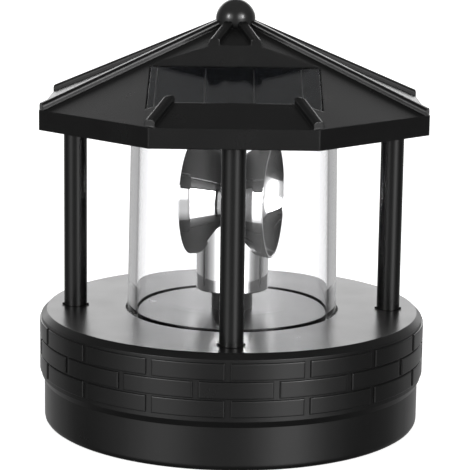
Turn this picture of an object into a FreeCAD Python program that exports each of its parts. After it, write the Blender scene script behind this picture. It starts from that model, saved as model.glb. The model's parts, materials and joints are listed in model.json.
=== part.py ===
"""Garden lighthouse ornament with a solar panel in its roof and a turning reflector.

Millimetres. z = 0 is the face the ornament stands on and the z axis is the axis of its
round base. +Z is up, and -Y is the front, the side the solar panel faces.
Every size is a cell of the sheet, and every sketch and feature is bound to those cells.
"""
import FreeCAD, Part
import math
import os
import re
import Sketcher
from FreeCAD import Placement, Rotation, Vector

SIZES = {
    # base shell: a round cup, open below, whose top is the deck
    "deck_height": 35.0,
    "deck_radius": 57.5,
    "deck_wall": 3.0,
    "shoulder": 1.7,
    "base_wall": 2.4,
    "skirt_step": 0.9,
    "skirt_slope": 1.9,
    "foot_round": 2.4,
    "foot_wall": 4.0,
    # courses of brick round the base
    "brick_drop": 2.4,
    "brick_pitch": 5.47,
    "brick_courses": 3,
    "bricks_round": 16,
    "brick_joint": 1.8,
    "brick_line": 0.5,
    "brick_proud": 0.5,
    "brick_edge": 0.25,
    "brick_lip": 1.1,
    "brick_turn": 10.45,
    "brick_turn_middle": 1.55,
    # clear tube round the reflector
    "tube_top_radius": 31.6,
    "tube_foot_radius": 32.6,
    "tube_wall": 2.8,
    "tube_slot_gap": 0.5,
    "tube_slot_deep": 1.6,
    "tube_end_play": 0.1,
    # posts between deck and roof
    "post_inset": 8.8,
    "post_radius": 3.55,
    "post_bore": 1.5,
    "post_bore_deep": 12.0,
    "spigot_radius": 2.5,
    "spigot_long": 1.4,
    "post_boss": 1.6,
    "socket_gap": 0.1,
    "lug_size": 0.6,
    # eight-sided roof
    "eave_height": 93.2,
    "fascia_tall": 5.9,
    "fascia_wall": 2.4,
    "eave_reach": 0.1,
    "roof_pitch": 24.33,
    "roof_wall": 2.4,
    "crown_flat": 12.0,
    "rib_wide": 3.2,
    "rib_tall": 1.9,
    "rib_start": 6.3,
    "rib_round": 1.1,
    # plate that closes the roof below
    "plate_inset": 1.0,
    "plate_thick": 2.4,
    "plate_gap": 0.3,
    # finial ball
    "ball_radius": 6.0,
    "ball_sink": 0.25,
    "ball_seat": 5.5,
    "ball_gap": 0.15,
    "peg_radius": 1.8,
    "peg_long": 4.0,
    # solar panel and the window it lies in
    "panel_flare": 2.755,
    "window_eave": 12.45,
    "panel_board": 1.3,
    "panel_resin": 0.9,
    "panel_edge": 0.3,
    "window_near": 15.4,
    "window_gap": 0.25,
    "tray_wall": 1.6,
    "tray_floor": 1.4,
    "lead_hole": 1.6,
    # reflector: two dishes back to back on a stem
    "horn_clear": 6.8,
    "horn_turn": -12.5,
    "horn_half": 12.8,
    "horn_band": 9.6,
    "horn_rim": 17.9,
    "horn_waist": 13.0,
    "horn_waist_half": 3.0,
    "horn_waist_round": 8.0,
    "horn_lip": 0.6,
    "dish_round": 14.0,
    "dish_eye": 5.0,
    "dish_eye_half": 2.0,
    "stem_radius": 11.2,
    "stem_wall": 1.4,
    "stem_rise": 6.4,
    "stem_floor": 2.0,
    # spindle, bush and gears under the deck
    "hub_radius": 6.35,
    "hub_lift": 0.25,
    "journal_radius": 4.6,
    "journal_end": 2.0,
    "spindle_bore": 3.2,
    "running_gap": 0.05,
    "spigot_ring": 1.0,
    "spigot_ring_tall": 1.6,
    "bush_wall": 1.5,
    "bush_flange": 8.2,
    "bush_flange_thick": 1.2,
    "gear_module": 0.8,
    "gear_teeth": 36,
    "pinion_teeth": 12,
    "pressure_angle": 25.0,
    "tooth_reach": 0.8,
    "tooth_clearance": 1.15,
    "backlash": 0.16,
    "gear_face": 3.6,
    "gear_gap": 0.8,
    "pinion_extra": 0.6,
    "clip_thick": 0.8,
    "clip_wide": 1.6,
    "clip_groove": 0.6,
    "clip_mouth": 5.0,
    # lamp post and lamp
    "lamp_post_radius": 2.4,
    "lamp_post_bore": 1.6,
    "lamp_radius": 2.5,
    "lamp_flange": 2.9,
    "lamp_flange_thick": 1.0,
    "lamp_below": 4.6,
    "lamp_tall": 5.6,
    "tower_radius": 4.6,
    "tower_tall": 8.0,
    "tower_socket": 6.0,
    # geared-down motor under the deck, in front of the spindle
    "motor_radius": 11.0,
    "motor_drop": 5.4,
    "motor_tall": 12.0,
    "motor_plate": 1.0,
    "motor_ear": 14.5,
    "motor_ear_radius": 3.0,
    "motor_shaft": 1.0,
    "motor_shaft_deep": 5.0,
    # bottom cover
    "cover_low": 2.0,
    "cover_wall": 2.2,
    "cover_gap": 0.4,
    "cover_screw_inset": 7.3,
    "cover_screw_gap": 0.4,
    "boss_radius": 3.4,
    # battery, its bay and door
    "cell_radius": 7.2,
    "cell_long": 49.2,
    "cell_nub": 1.3,
    "cell_nub_radius": 2.7,
    "bay_margin": 1.822,
    "bay_side_gap": 0.5,
    "bay_end_gap": 1.6,
    "bay_wall": 1.5,
    "door_thick": 1.8,
    "door_gap": 0.3,
    "door_ledge": 2.2,
    "door_tab": 8.0,
    "door_round": 2.0,
    "contact_thick": 0.4,
    "contact_wide": 9.0,
    "leaf_bow": 14.0,
    "leaf_half": 5.0,
    # circuit board
    "board_inset": 23.3,
    "board_gap": 6.8,
    "board_clear": 4.1,
    "board_wide": 24.0,
    "board_long": 26.0,
    "board_thick": 1.6,
    "board_lift": 8.0,
    "board_hole_inset": 2.6,
    "pillar_radius": 2.4,
    # slide switch in the bottom cover
    "switch_place": 28.0,
    "switch_gap": 7.05,
    "switch_long": 12.0,
    "switch_wide": 6.0,
    "switch_tall": 5.6,
    "knob_long": 3.0,
    "knob_wide": 3.0,
    "knob_low": 0.8,
    "knob_travel": 2.5,
    "knob_gap": 0.3,
    "shoe_long": 5.0,
    "shoe_tall": 1.6,
    # screws
    "screw_radius": 1.3,
    "screw_pilot_gap": 0.05,
    "screw_hole_gap": 0.3,
    "screw_head_radius": 2.4,
    "screw_head_tall": 1.3,
    "screw_long": 9.0,
    "screw_sink": 1.7,
}

# Cells that follow from the sizes above, so that what belongs together keeps together
FOLLOWING = {
    "well_radius": "deck_radius + shoulder - skirt_step - foot_wall",
    "roof_apothem": "deck_radius + eave_reach",
    "post_circle": "roof_apothem - post_inset",
    "horn_height": "eave_height + plate_inset - horn_clear - horn_rim",
    "stem_foot": "deck_height + stem_rise",
    "gear_low": "deck_height - deck_wall - bush_flange_thick - gear_gap - gear_face",
    "journal_low": "gear_low - journal_end",
    "motor_low": "gear_low - motor_drop - motor_tall",
    "panel_slope": "tan(roof_pitch) / sqrt(2)",
    "panel_near": "window_near + window_gap + (panel_board + panel_resin) * sin(atan(panel_slope))",
    "panel_long": "2 * tan(22.5) * (roof_apothem + panel_flare)",
    "panel_wide": "(roof_apothem - window_eave - panel_near - window_gap) / cos(atan(panel_slope))",
    "frame_side": "cell_radius + bay_side_gap + door_ledge + bay_wall + door_gap",
    "frame_end": "(cell_long + cell_nub) / 2 + bay_end_gap + door_tab + bay_wall + door_gap",
    "bay_place": "sqrt((well_radius - cover_gap) ^ 2 - frame_end ^ 2) - frame_side - bay_margin",
    "board_place": "well_radius - board_inset",
    "board_front": "bay_place - cell_radius - bay_side_gap - bay_wall - board_gap - board_long / 2",
    "switch_front": "bay_place - frame_side - switch_gap - switch_long / 2 - knob_travel / 2",
    "cover_screw_circle": "well_radius - cover_screw_inset",
    "cover_screw_front": "board_front - board_long / 2 - board_clear - boss_radius",
    "cover_screw_rear": "bay_place + frame_side + boss_radius + cover_screw_gap",
}

# Heights and lengths that follow from the sheet, written once in the sheet's own names
BAND = "(deck_radius + shoulder)"
DECK_UNDER = "(deck_height - deck_wall)"
BRICK_TOP = "(deck_height - brick_drop)"
BAND_FOOT = "(deck_height - brick_drop - brick_courses * brick_pitch - brick_lip)"
COVER_TOP = "(cover_low + cover_wall)"
PLATE_LOW = "(eave_height + plate_inset)"
PLATE_TOP = "(eave_height + plate_inset + plate_thick)"
EAVE_TOP = "(eave_height + fascia_tall)"
APEX = "(eave_height + fascia_tall + roof_apothem * tan(roof_pitch))"
ROOF_DROP = "(roof_wall / cos(roof_pitch))"
INNER_APOTHEM = "(roof_apothem - fascia_wall)"
CORNER = "cos(22.5)"
BALL_HEIGHT = f"({APEX} - ball_sink)"
BALL_SEAT = f"({APEX} - ball_sink - ball_seat)"
PANEL_TILT = "atan(panel_slope)"
PANEL_THICK = "(panel_board + panel_resin)"
PANEL_LINE = f"({APEX} - panel_slope * panel_long / 2)"
WINDOW_FAR = "(roof_apothem - window_eave)"
CENTRE_DISTANCE = "(gear_module * (gear_teeth + pinion_teeth) / 2)"
MOTOR_TOP = "(motor_low + motor_tall)"
HUB_LOW = "(deck_height + hub_lift)"
BUSH_RADIUS = "(journal_radius + running_gap + bush_wall)"
BUSH_LOW = f"({DECK_UNDER} - bush_flange_thick)"
GEAR_TOP = "(gear_low + gear_face)"
LAMP_LOW = "(horn_height - lamp_below)"
DOOR_TOP = "(cover_low + door_thick)"
CELL_HEIGHT = "(cover_low + door_thick + cell_radius + bay_side_gap / 2)"
BAY_HALF = "((cell_long + cell_nub) / 2 + bay_end_gap)"
BAY_SIDE = "(cell_radius + bay_side_gap)"
BAY_TOP = "(cover_low + door_thick + 2 * cell_radius + bay_side_gap)"
DOOR_SIDE = "(cell_radius + bay_side_gap + door_ledge)"
DOOR_NEAR = "((cell_long + cell_nub) / 2 + bay_end_gap + door_ledge)"
DOOR_FAR = "((cell_long + cell_nub) / 2 + bay_end_gap + door_tab)"
DOOR_SCREW = "((cell_long + cell_nub) / 2 + bay_end_gap + door_tab / 2)"
BOARD_LOW = "(cover_low + cover_wall + board_lift)"

doc = FreeCAD.newDocument("garden_lighthouse")
sheet = doc.addObject("Spreadsheet::Sheet", "Sizes")
pieces = []


def fill_sheet():
    """Write each size or formula beside its name, and give its cell that name as an alias."""
    formulas = {name: "=" + formula for name, formula in FOLLOWING.items()}
    for row, (name, size) in enumerate({**SIZES, **formulas}.items(), start=1):
        sheet.set(f"A{row}", name)
        sheet.set(f"B{row}", str(size))
        sheet.setAlias(f"B{row}", name)
        doc.recompute()


def bound(formula):
    """The formula with every size's name pointed at its cell."""
    return re.sub(r"[a-z_]{4,}", lambda word: f"Sizes.{word[0]}"
                  if word[0] in SIZES or word[0] in FOLLOWING else word[0], str(formula))


def value(formula):
    """What the formula comes to with the sheet's present numbers."""
    return float(sheet.evalExpression(bound(formula)))


def datum(body, role):
    """An origin plane or axis of the body."""
    return next(item for item in body.Origin.OriginFeatures if item.Role == role)


def new_body(label):
    """A body that becomes one named piece of the ornament."""
    body = doc.addObject("PartDesign::Body", label)
    body.Label = label
    pieces.append(body)
    return body


def attach(body, name, plane, shift="0", rise="0", turn="0"):
    """An empty sketch on an origin plane, moved along its normal by shift and up by rise.

    turn swings the plane about the sketch's own upright axis, in degrees.
    """
    sketch = body.newObject("Sketcher::SketchObject", f"{body.Name}_{name}")
    sketch.AttachmentSupport = [(datum(body, plane), "")]
    sketch.MapMode = "FlatFace"
    sketch.AttachmentOffset = Placement(Vector(0, 0, 0), Rotation(Vector(0, 1, 0), 1))
    sketch.setExpression(".AttachmentOffset.Rotation.Angle", bound(turn))
    sketch.setExpression(".AttachmentOffset.Base.x", bound(f"({shift}) * sin({turn})"))
    sketch.setExpression(".AttachmentOffset.Base.z", bound(f"({shift}) * cos({turn})"))
    sketch.setExpression(".AttachmentOffset.Base.y", bound(rise))
    return sketch


def dimension(sketch, kind, edge, point, formula):
    """A driving dimension of one vertex or centre, bound to the sheet."""
    number = sketch.addConstraint(Sketcher.Constraint(kind, edge, point, value(formula)))
    sketch.setExpression(f"Constraints[{number}]", bound(formula))


def arc_radius(sketch, edge, formula):
    """A driving radius of one arc or circle, bound to the sheet."""
    number = sketch.addConstraint(Sketcher.Constraint("Radius", edge, value(formula)))
    sketch.setExpression(f"Constraints[{number}]", bound(formula))


def arc_between(start, end, radius):
    """The shorter arc from start to end, and whether it runs anticlockwise."""
    chord = end - start
    lift = math.sqrt(max(radius ** 2 - chord.Length ** 2 / 4, 0.0))
    left = Vector(-chord.y, chord.x, 0).normalize()
    centre = (start + end) / 2 + left * (lift if radius > 0 else -lift)
    first, last = (start, end) if radius > 0 else (end, start)
    begin, finish = [math.atan2(spot.y - centre.y, spot.x - centre.x) for spot in (first, last)]
    if finish < begin:
        finish += 2 * math.pi
    circle = Part.Circle(centre, Vector(0, 0, 1), abs(radius))
    return Part.ArcOfCircle(circle, begin, finish), radius > 0


def outline(sketch, points):
    """Draw a closed outline through points given as (across, up) formulas.

    A third formula is the radius of the arc that leads on from that point to the next
    one, positive where the arc runs anticlockwise.
    """
    spots = [Vector(value(point[0]), value(point[1]), 0) for point in points]
    ends = []
    first = sketch.GeometryCount
    for number, point in enumerate(points):
        start, end = spots[number], spots[(number + 1) % len(points)]
        if len(point) == 3:
            curve, forwards = arc_between(start, end, value(point[2]))
        else:
            curve, forwards = Part.LineSegment(start, end), True
        sketch.addGeometry(curve, False)
        ends.append((1, 2) if forwards else (2, 1))
    for number in range(len(points)):
        following = (number + 1) % len(points)
        sketch.addConstraint(Sketcher.Constraint(
            "Coincident", first + number, ends[number][1],
            first + following, ends[following][0]))
    for number, point in enumerate(points):
        dimension(sketch, "DistanceX", first + number, ends[number][0], point[0])
        dimension(sketch, "DistanceY", first + number, ends[number][0], point[1])
        if len(point) == 3:
            arc_radius(sketch, first + number, f"abs({point[2]})")
    return sketch


def circles(sketch, rounds):
    """Draw circles given as (across, up, radius) formulas."""
    for number, (across, up, radius) in enumerate(rounds):
        centre = Vector(value(across), value(up), 0)
        sketch.addGeometry(Part.Circle(centre, Vector(0, 0, 1), value(radius)), False)
        dimension(sketch, "DistanceX", number, 3, across)
        dimension(sketch, "DistanceY", number, 3, up)
        arc_radius(sketch, number, radius)
    return sketch


def rectangle(sketch, left, right, low, high):
    """Draw an upright rectangle between four formulas."""
    return outline(sketch, [(left, low), (right, low), (right, high), (left, high)])


def octagon(sketch, apothem):
    """Draw the eight-sided outline that has flats on all four sides."""
    corners = []
    for side in range(8):
        angle = 22.5 + 45 * side
        corners.append((f"{apothem} / {CORNER} * cos({angle})",
                        f"{apothem} / {CORNER} * sin({angle})"))
    return outline(sketch, corners)


def pad(body, sketch, length, side="One side", down=False):
    """Raise a sketch into the body."""
    feature = body.newObject("PartDesign::Pad", sketch.Name + "_pad")
    feature.Profile = sketch
    feature.setExpression("Length", bound(length))
    feature.SideType = side
    feature.Reversed = down
    return feature


def pocket(body, sketch, length, side="One side", up=False):
    """Cut a sketch out of the body, downwards unless up is set."""
    feature = body.newObject("PartDesign::Pocket", sketch.Name + "_pocket")
    feature.Profile = sketch
    feature.setExpression("Length", bound(length))
    feature.SideType = side
    feature.Reversed = up
    return feature


def turned(body, sketch, kind="Revolution", axis="V_Axis", angle=None):
    """Turn a sketch about one of its own axes, a full turn unless an angle is given."""
    feature = body.newObject(f"PartDesign::{kind}", sketch.Name + "_" + kind.lower())
    feature.Profile = sketch
    feature.ReferenceAxis = (sketch, [axis])
    feature.Angle = 360
    if angle is not None:
        feature.Midplane = True
        feature.setExpression("Angle", bound(angle))
    return feature


def ring_pattern(body, feature, count):
    """Repeat a feature evenly about the upright axis."""
    pattern = body.newObject("PartDesign::PolarPattern", feature.Name + "_ring")
    pattern.Originals = [feature]
    pattern.Axis = (datum(body, "Z_Axis"), [""])
    pattern.Angle = 360
    pattern.setExpression("Occurrences", bound(count))
    body.Tip = pattern
    return pattern


def lofted(body, kind, low, high):
    """A straight-sided loft between two sketches."""
    feature = body.newObject(f"PartDesign::{kind}", low.Name + "_loft")
    feature.Profile = low
    feature.Sections = [high]
    feature.Ruled = True
    return feature


def rounded(body, base, radius, chosen):
    """Round the edges of the base feature that the chosen test accepts."""
    doc.recompute()
    names = [f"Edge{number}" for number, edge in enumerate(base.Shape.Edges, start=1)
             if chosen(edge)]
    feature = body.newObject("PartDesign::Fillet", base.Name + "_round")
    feature.Base = (base, names)
    feature.setExpression("Radius", bound(radius))
    return feature


def polar(radius, angle):
    """Across and up formulas of a point at an angle, in degrees from the +X side."""
    return f"{radius} * cos({angle})", f"{radius} * sin({angle})"


def cylinder(name, radius, length, across, up, height):
    """An upright cylinder whose lower face is centred on the point given."""
    solid = doc.addObject("Part::Cylinder", name)
    for key, formula in (("Radius", radius), ("Height", length), (".Placement.Base.x", across),
                         (".Placement.Base.y", up), (".Placement.Base.z", height)):
        solid.setExpression(key, bound(formula))
    return solid


def screw_group(label, places, seat, upwards=True):
    """Screws whose heads bear on the height seat, one at each place, as one piece."""
    screws = []
    for number, (across, up) in enumerate(places, start=1):
        name = f"{label}_{number}"
        head_low = f"{seat} - screw_head_tall" if upwards else seat
        shank_low = seat if upwards else f"{seat} - screw_long"
        head = cylinder(name + "_head", "screw_head_radius", "screw_head_tall", across, up,
                        head_low)
        shank = cylinder(name + "_shank", "screw_radius", "screw_long", across, up, shank_low)
        screw = doc.addObject("Part::MultiFuse", name)
        screw.Shapes = [head, shank]
        screws.append(screw)
    group = doc.addObject("Part::Compound", label)
    group.Links = screws
    group.Label = label
    pieces.append(group)


POSTS = {"front": -90, "right": 0, "rear": 90, "left": 180}
COVER_SCREWS = [(f"{way}sqrt(cover_screw_circle ^ 2 - {up} ^ 2)", up)
                for up in ("cover_screw_front", "cover_screw_rear") for way in ("", "-")]
ROOF_SCREW_CIRCLE = "(post_circle - post_radius - 1.5 * screw_head_radius)"
ROOF_SCREWS = [polar(ROOF_SCREW_CIRCLE, angle) for angle in (45, 135, 225, 315)]
SCREWED_POSTS = [polar("post_circle", POSTS[name]) for name in ("front", "right", "left")]
MOTOR_SCREWS = [("motor_ear", f"-{CENTRE_DISTANCE}"), ("-motor_ear", f"-{CENTRE_DISTANCE}")]
BOARD_SCREWS = [
    ("board_place - board_wide / 2 + board_hole_inset",
     "board_front - board_long / 2 + board_hole_inset"),
    ("board_place + board_wide / 2 - board_hole_inset",
     "board_front + board_long / 2 - board_hole_inset")]
PILOT = "screw_radius + screw_pilot_gap"
CLEAR = "screw_radius + screw_hole_gap"


def brick_course(body, number):
    """One course of bricks: a short curved block with broken edges, repeated round the band."""
    top = f"({BRICK_TOP} - {number} * brick_pitch - brick_line / 2)"
    low = f"({BRICK_TOP} - ({number} + 1) * brick_pitch + brick_line / 2)"
    face = f"({BAND} + brick_proud)"
    root = f"({BAND} - brick_edge)"
    turn = "brick_turn_middle" if number % 2 else "brick_turn"
    sketch = attach(body, f"brick{number}", "XZ_Plane", turn=turn)
    outline(sketch, [(root, low), (f"{face} - brick_edge", low), (face, f"{low} + brick_edge"),
                     (face, f"{top} - brick_edge"), (f"{face} - brick_edge", top), (root, top)])
    block = turned(body, sketch, angle=f"360 / bricks_round - 57.2958 * brick_joint / {BAND}")
    return ring_pattern(body, block, "bricks_round")


def base_housing():
    """Round base shell with its deck, brick courses, sockets and screw bosses."""
    body = new_body("base_housing")
    skirt = f"({BAND} - skirt_step)"
    inner = f"({BAND} - base_wall)"
    turned(body, outline(attach(body, "wall", "XZ_Plane"), [
        ("well_radius", "0"),
        (f"{skirt} - foot_round", "0", "foot_round"),
        (skirt, "foot_round"),
        (skirt, f"{BAND_FOOT} - skirt_slope"),
        (BAND, BAND_FOOT),
        (BAND, "deck_height - shoulder"),
        ("deck_radius", "deck_height"),
        ("0", "deck_height"),
        ("0", DECK_UNDER),
        (inner, DECK_UNDER),
        (inner, BAND_FOOT),
        ("well_radius", f"{BAND_FOOT} - skirt_slope"),
    ]))
    for number in range(int(value("brick_courses"))):
        brick_course(body, number)
    slot_in = "tube_foot_radius - tube_wall - tube_slot_gap"
    slot_out = "tube_foot_radius + tube_slot_gap"
    turned(body, rectangle(attach(body, "slot", "XZ_Plane"), slot_in, slot_out,
                           "deck_height - tube_slot_deep", "deck_height + 1"), "Groove")
    inside = f"({DECK_UNDER} + deck_wall / 4)"
    pad(body, circles(attach(body, "cover_bosses", "XY_Plane", inside),
                      [(*spot, "boss_radius") for spot in COVER_SCREWS]),
        f"{inside} - {COVER_TOP}", down=True)
    pad(body, circles(attach(body, "motor_bosses", "XY_Plane", inside),
                      [(*spot, "motor_ear_radius") for spot in MOTOR_SCREWS]),
        f"{inside} - {MOTOR_TOP} - motor_plate", down=True)
    pad(body, circles(attach(body, "post_bosses", "XY_Plane", inside),
                      [(*polar("post_circle", angle), "post_radius + 1")
                       for angle in POSTS.values()]),
        f"{inside} - {DECK_UNDER} + post_boss", down=True)
    pocket(body, circles(attach(body, "cover_pilots", "XY_Plane", COVER_TOP),
                         [(*spot, PILOT) for spot in COVER_SCREWS]),
           "screw_long + 1", up=True)
    pocket(body, circles(attach(body, "motor_pilots", "XY_Plane", f"{MOTOR_TOP} + motor_plate"),
                         [(*spot, PILOT) for spot in MOTOR_SCREWS]),
           "screw_long + 0.5", up=True)
    pocket(body, circles(attach(body, "post_sockets", "XY_Plane", "deck_height"),
                         [(*polar("post_circle", angle), "spigot_radius + socket_gap")
                          for angle in POSTS.values()]),
           "spigot_long + socket_gap")
    pocket(body, circles(attach(body, "deck_holes", "XY_Plane", "deck_height"),
                         [("0", "0", BUSH_RADIUS)]
                         + [(*spot, CLEAR) for spot in SCREWED_POSTS]
                         + [(*polar("post_circle", POSTS["rear"]), "lead_hole")]),
           "2 * deck_wall + post_boss")
    return body


def bottom_cover():
    """Round cover let into the base, with the battery bay, lamp tower and board pillars."""
    body = new_body("bottom_cover")
    pad(body, circles(attach(body, "disc", "XY_Plane", "cover_low"),
                      [("0", "0", "well_radius - cover_gap")]), "cover_wall")
    inside = f"({COVER_TOP} - cover_wall / 2)"
    rim = "(bay_wall + door_gap)"
    pad(body, rectangle(attach(body, "door_frame", "XY_Plane", inside),
                        f"-{DOOR_NEAR} - {rim}", f"{DOOR_FAR} + {rim}",
                        f"bay_place - {DOOR_SIDE} - {rim}", f"bay_place + {DOOR_SIDE} + {rim}"),
        f"{DOOR_TOP} + bay_wall + cover_wall / 2 - {inside}")
    pad(body, rectangle(attach(body, "bay", "XY_Plane", inside),
                        f"-{BAY_HALF} - bay_wall", f"{BAY_HALF} + bay_wall",
                        f"bay_place - {BAY_SIDE} - bay_wall", f"bay_place + {BAY_SIDE} + bay_wall"),
        f"{BAY_TOP} + bay_wall - {inside}")
    pad(body, circles(attach(body, "door_boss", "XY_Plane", inside),
                      [(DOOR_SCREW, "bay_place", "boss_radius")]),
        f"{DOOR_TOP} + screw_long + bay_wall - {inside}")
    pad(body, circles(attach(body, "tower", "XY_Plane", inside),
                      [("0", "0", "tower_radius")]), "tower_tall + cover_wall / 2")
    pad(body, circles(attach(body, "pillars", "XY_Plane", inside),
                      [(*spot, "pillar_radius") for spot in BOARD_SCREWS]),
        "board_lift + cover_wall / 2")
    below = "(cover_low - 1)"
    pocket(body, rectangle(attach(body, "door_seat", "XY_Plane", below),
                           f"-{DOOR_NEAR} - door_gap", f"{DOOR_FAR} + door_gap",
                           f"bay_place - {DOOR_SIDE} - door_gap",
                           f"bay_place + {DOOR_SIDE} + door_gap"),
           "1 + door_thick", up=True)
    pocket(body, rectangle(attach(body, "bay_room", "XY_Plane", below),
                           f"-{BAY_HALF}", BAY_HALF,
                           f"bay_place - {BAY_SIDE}", f"bay_place + {BAY_SIDE}"),
           f"{BAY_TOP} - {below}", up=True)
    pocket(body, circles(attach(body, "door_pilot", "XY_Plane", below),
                         [(DOOR_SCREW, "bay_place", PILOT)]),
           f"{DOOR_TOP} - {below} + screw_long", up=True)
    pocket(body, circles(attach(body, "screw_sinks", "XY_Plane", below),
                         [(*spot, "screw_head_radius + screw_hole_gap")
                          for spot in COVER_SCREWS]),
           "1 + screw_sink - 0.5", up=True)
    pocket(body, circles(attach(body, "screw_holes", "XY_Plane", below),
                         [(*spot, CLEAR) for spot in COVER_SCREWS]), "1 + 2 * cover_wall",
           up=True)
    reach = "(switch_front + knob_travel + knob_gap + knob_long / 2)"
    pocket(body, rectangle(attach(body, "knob_slot", "XY_Plane", below),
                           "-switch_place - knob_wide / 2 - knob_gap",
                           "-switch_place + knob_wide / 2 + knob_gap",
                           "switch_front - knob_long / 2 - knob_gap", reach),
           "1 + 2 * cover_wall", up=True)
    pocket(body, circles(attach(body, "lamp_socket", "XY_Plane", f"{COVER_TOP} + tower_tall"),
                         [("0", "0", "lamp_post_radius + socket_gap")]), "tower_socket")
    pocket(body, circles(attach(body, "board_pilots", "XY_Plane", BOARD_LOW),
                         [(*spot, PILOT) for spot in BOARD_SCREWS]), "board_lift")
    return body


def battery_door():
    """Flat door of the battery bay, with a tab for its screw."""
    body = new_body("battery_door")
    plate = pad(body, rectangle(attach(body, "plate", "XY_Plane", "cover_low"),
                                f"-{DOOR_NEAR}", DOOR_FAR,
                                f"bay_place - {DOOR_SIDE}", f"bay_place + {DOOR_SIDE}"),
                "door_thick")
    rounded(body, plate, "door_round", lambda edge: abs(edge.tangentAt(0).z) > 0.9)
    pocket(body, circles(attach(body, "screw_hole", "XY_Plane", "cover_low"),
                         [(DOOR_SCREW, "bay_place", CLEAR)]), "door_thick", up=True)
    pocket(body, circles(attach(body, "screw_sink", "XY_Plane", "cover_low"),
                         [(DOOR_SCREW, "bay_place", "screw_head_radius + screw_hole_gap")]),
           "door_thick / 2", up=True)
    return body


def battery_cell():
    """Round AA cell with its raised positive end, lying across the base."""
    body = new_body("battery_cell")
    half = "(cell_long + cell_nub) / 2"
    sketch = attach(body, "profile", "XZ_Plane", "-bay_place", CELL_HEIGHT)
    turned(body, outline(sketch, [
        (f"-{half}", "0"), (f"{half}", "0"), (f"{half}", "cell_nub_radius"),
        (f"{half} - cell_nub", "cell_nub_radius"), (f"{half} - cell_nub", "cell_radius"),
        (f"-{half}", "cell_radius")]), axis="H_Axis")
    return body


def battery_contacts():
    """Flat contact at the positive end and bowed leaf contact at the negative end."""
    plate = new_body("battery_plate")
    low = f"({DOOR_TOP} + door_gap)"
    high = f"({BAY_TOP} - bay_side_gap)"
    sketch = attach(plate, "profile", "XZ_Plane", "-bay_place")
    pad(plate, outline(sketch, [
        (f"{BAY_HALF} - contact_thick", low), (BAY_HALF, low), (BAY_HALF, high),
        (f"{BAY_HALF} - contact_thick", high)]), "contact_wide", "Symmetric")
    bump = attach(plate, "bump", "YZ_Plane", f"{BAY_HALF} - contact_thick / 2")
    pad(plate, circles(bump, [("bay_place", CELL_HEIGHT, "cell_nub_radius - 0.4")]),
        "bay_end_gap - contact_thick / 2", down=True)
    leaf = new_body("battery_leaf")
    lower, upper = f"({CELL_HEIGHT} - leaf_half)", f"({CELL_HEIGHT} + leaf_half)"
    sketch = attach(leaf, "profile", "XZ_Plane", "-bay_place")
    pad(leaf, outline(sketch, [
        (f"-{BAY_HALF}", low), (f"-{BAY_HALF} + contact_thick", low),
        (f"-{BAY_HALF} + contact_thick", lower, "leaf_bow"),
        (f"-{BAY_HALF} + contact_thick", upper),
        (f"-{BAY_HALF} + contact_thick", high), (f"-{BAY_HALF}", high),
        (f"-{BAY_HALF}", upper, "-(leaf_bow - contact_thick)"),
        (f"-{BAY_HALF}", lower)]), "contact_wide", "Symmetric")


def circuit_board():
    """Charging and motor circuit board on two pillars, with the parts soldered to it."""
    body = new_body("circuit_board")
    left, right = "(board_place - board_wide / 2)", "(board_place + board_wide / 2)"
    front, rear = "(board_front - board_long / 2)", "(board_front + board_long / 2)"
    pad(body, rectangle(attach(body, "outline", "XY_Plane", BOARD_LOW), left, right, front, rear),
        "board_thick")
    pocket(body, circles(attach(body, "holes", "XY_Plane", BOARD_LOW),
                         [(*spot, CLEAR) for spot in BOARD_SCREWS]), "board_thick", up=True)
    top = f"({BOARD_LOW} + board_thick)"
    coil = cylinder("charge_coil", "3", "4.5", "board_place - 4", "board_front + 6", top)
    store = cylinder("store_capacitor", "2.5", "6", "board_place + 6", "board_front - 6", top)
    chip = doc.addObject("Part::Box", "control_chip")
    for key, formula in (("Length", "5"), ("Width", "4"), ("Height", "1.5"),
                         (".Placement.Base.x", "board_place - 3"),
                         (".Placement.Base.y", "board_front - 5"), (".Placement.Base.z", top)):
        chip.setExpression(key, bound(formula))
    group = doc.addObject("Part::Compound", "board_parts")
    group.Links = [coil, store, chip]
    group.Label = "board_parts"
    pieces.append(group)


def slide_switch():
    """Switch body on the bottom cover, and the knob that slides in its slot."""
    body = new_body("switch_body")
    left, right = "(-switch_place - switch_wide / 2)", "(-switch_place + switch_wide / 2)"
    middle = "(switch_front + knob_travel / 2)"
    pad(body, rectangle(attach(body, "case", "XY_Plane", COVER_TOP), left, right,
                        f"{middle} - switch_long / 2", f"{middle} + switch_long / 2"),
        "switch_tall")
    stem_half = "(knob_wide / 2 + knob_gap)"
    pocket(body, rectangle(attach(body, "stem_room", "XY_Plane", COVER_TOP),
                           f"-switch_place - {stem_half}", f"-switch_place + {stem_half}",
                           "switch_front - knob_long / 2 - knob_gap",
                           "switch_front + knob_travel + knob_gap + knob_long / 2"),
           "switch_tall / 2", up=True)
    pocket(body, rectangle(attach(body, "shoe_room", "XY_Plane", f"{COVER_TOP} + 1"),
                           f"-switch_place - {stem_half}", f"-switch_place + {stem_half}",
                           "switch_front - shoe_long / 2 - knob_gap",
                           "switch_front + knob_travel + knob_gap + shoe_long / 2"),
           "shoe_tall + 2 * knob_gap", up=True)
    knob = new_body("switch_knob")
    shoe_low = f"({COVER_TOP} + 1 + knob_gap)"
    pad(knob, rectangle(attach(knob, "stem", "XY_Plane", "knob_low"),
                        "-switch_place - knob_wide / 2", "-switch_place + knob_wide / 2",
                        "switch_front - knob_long / 2", "switch_front + knob_long / 2"),
        f"{shoe_low} - knob_low + 0.5")
    pad(knob, rectangle(attach(knob, "shoe", "XY_Plane", shoe_low),
                        "-switch_place - knob_wide / 2", "-switch_place + knob_wide / 2",
                        "switch_front - shoe_long / 2", "switch_front + shoe_long / 2"),
        "shoe_tall")


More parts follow.
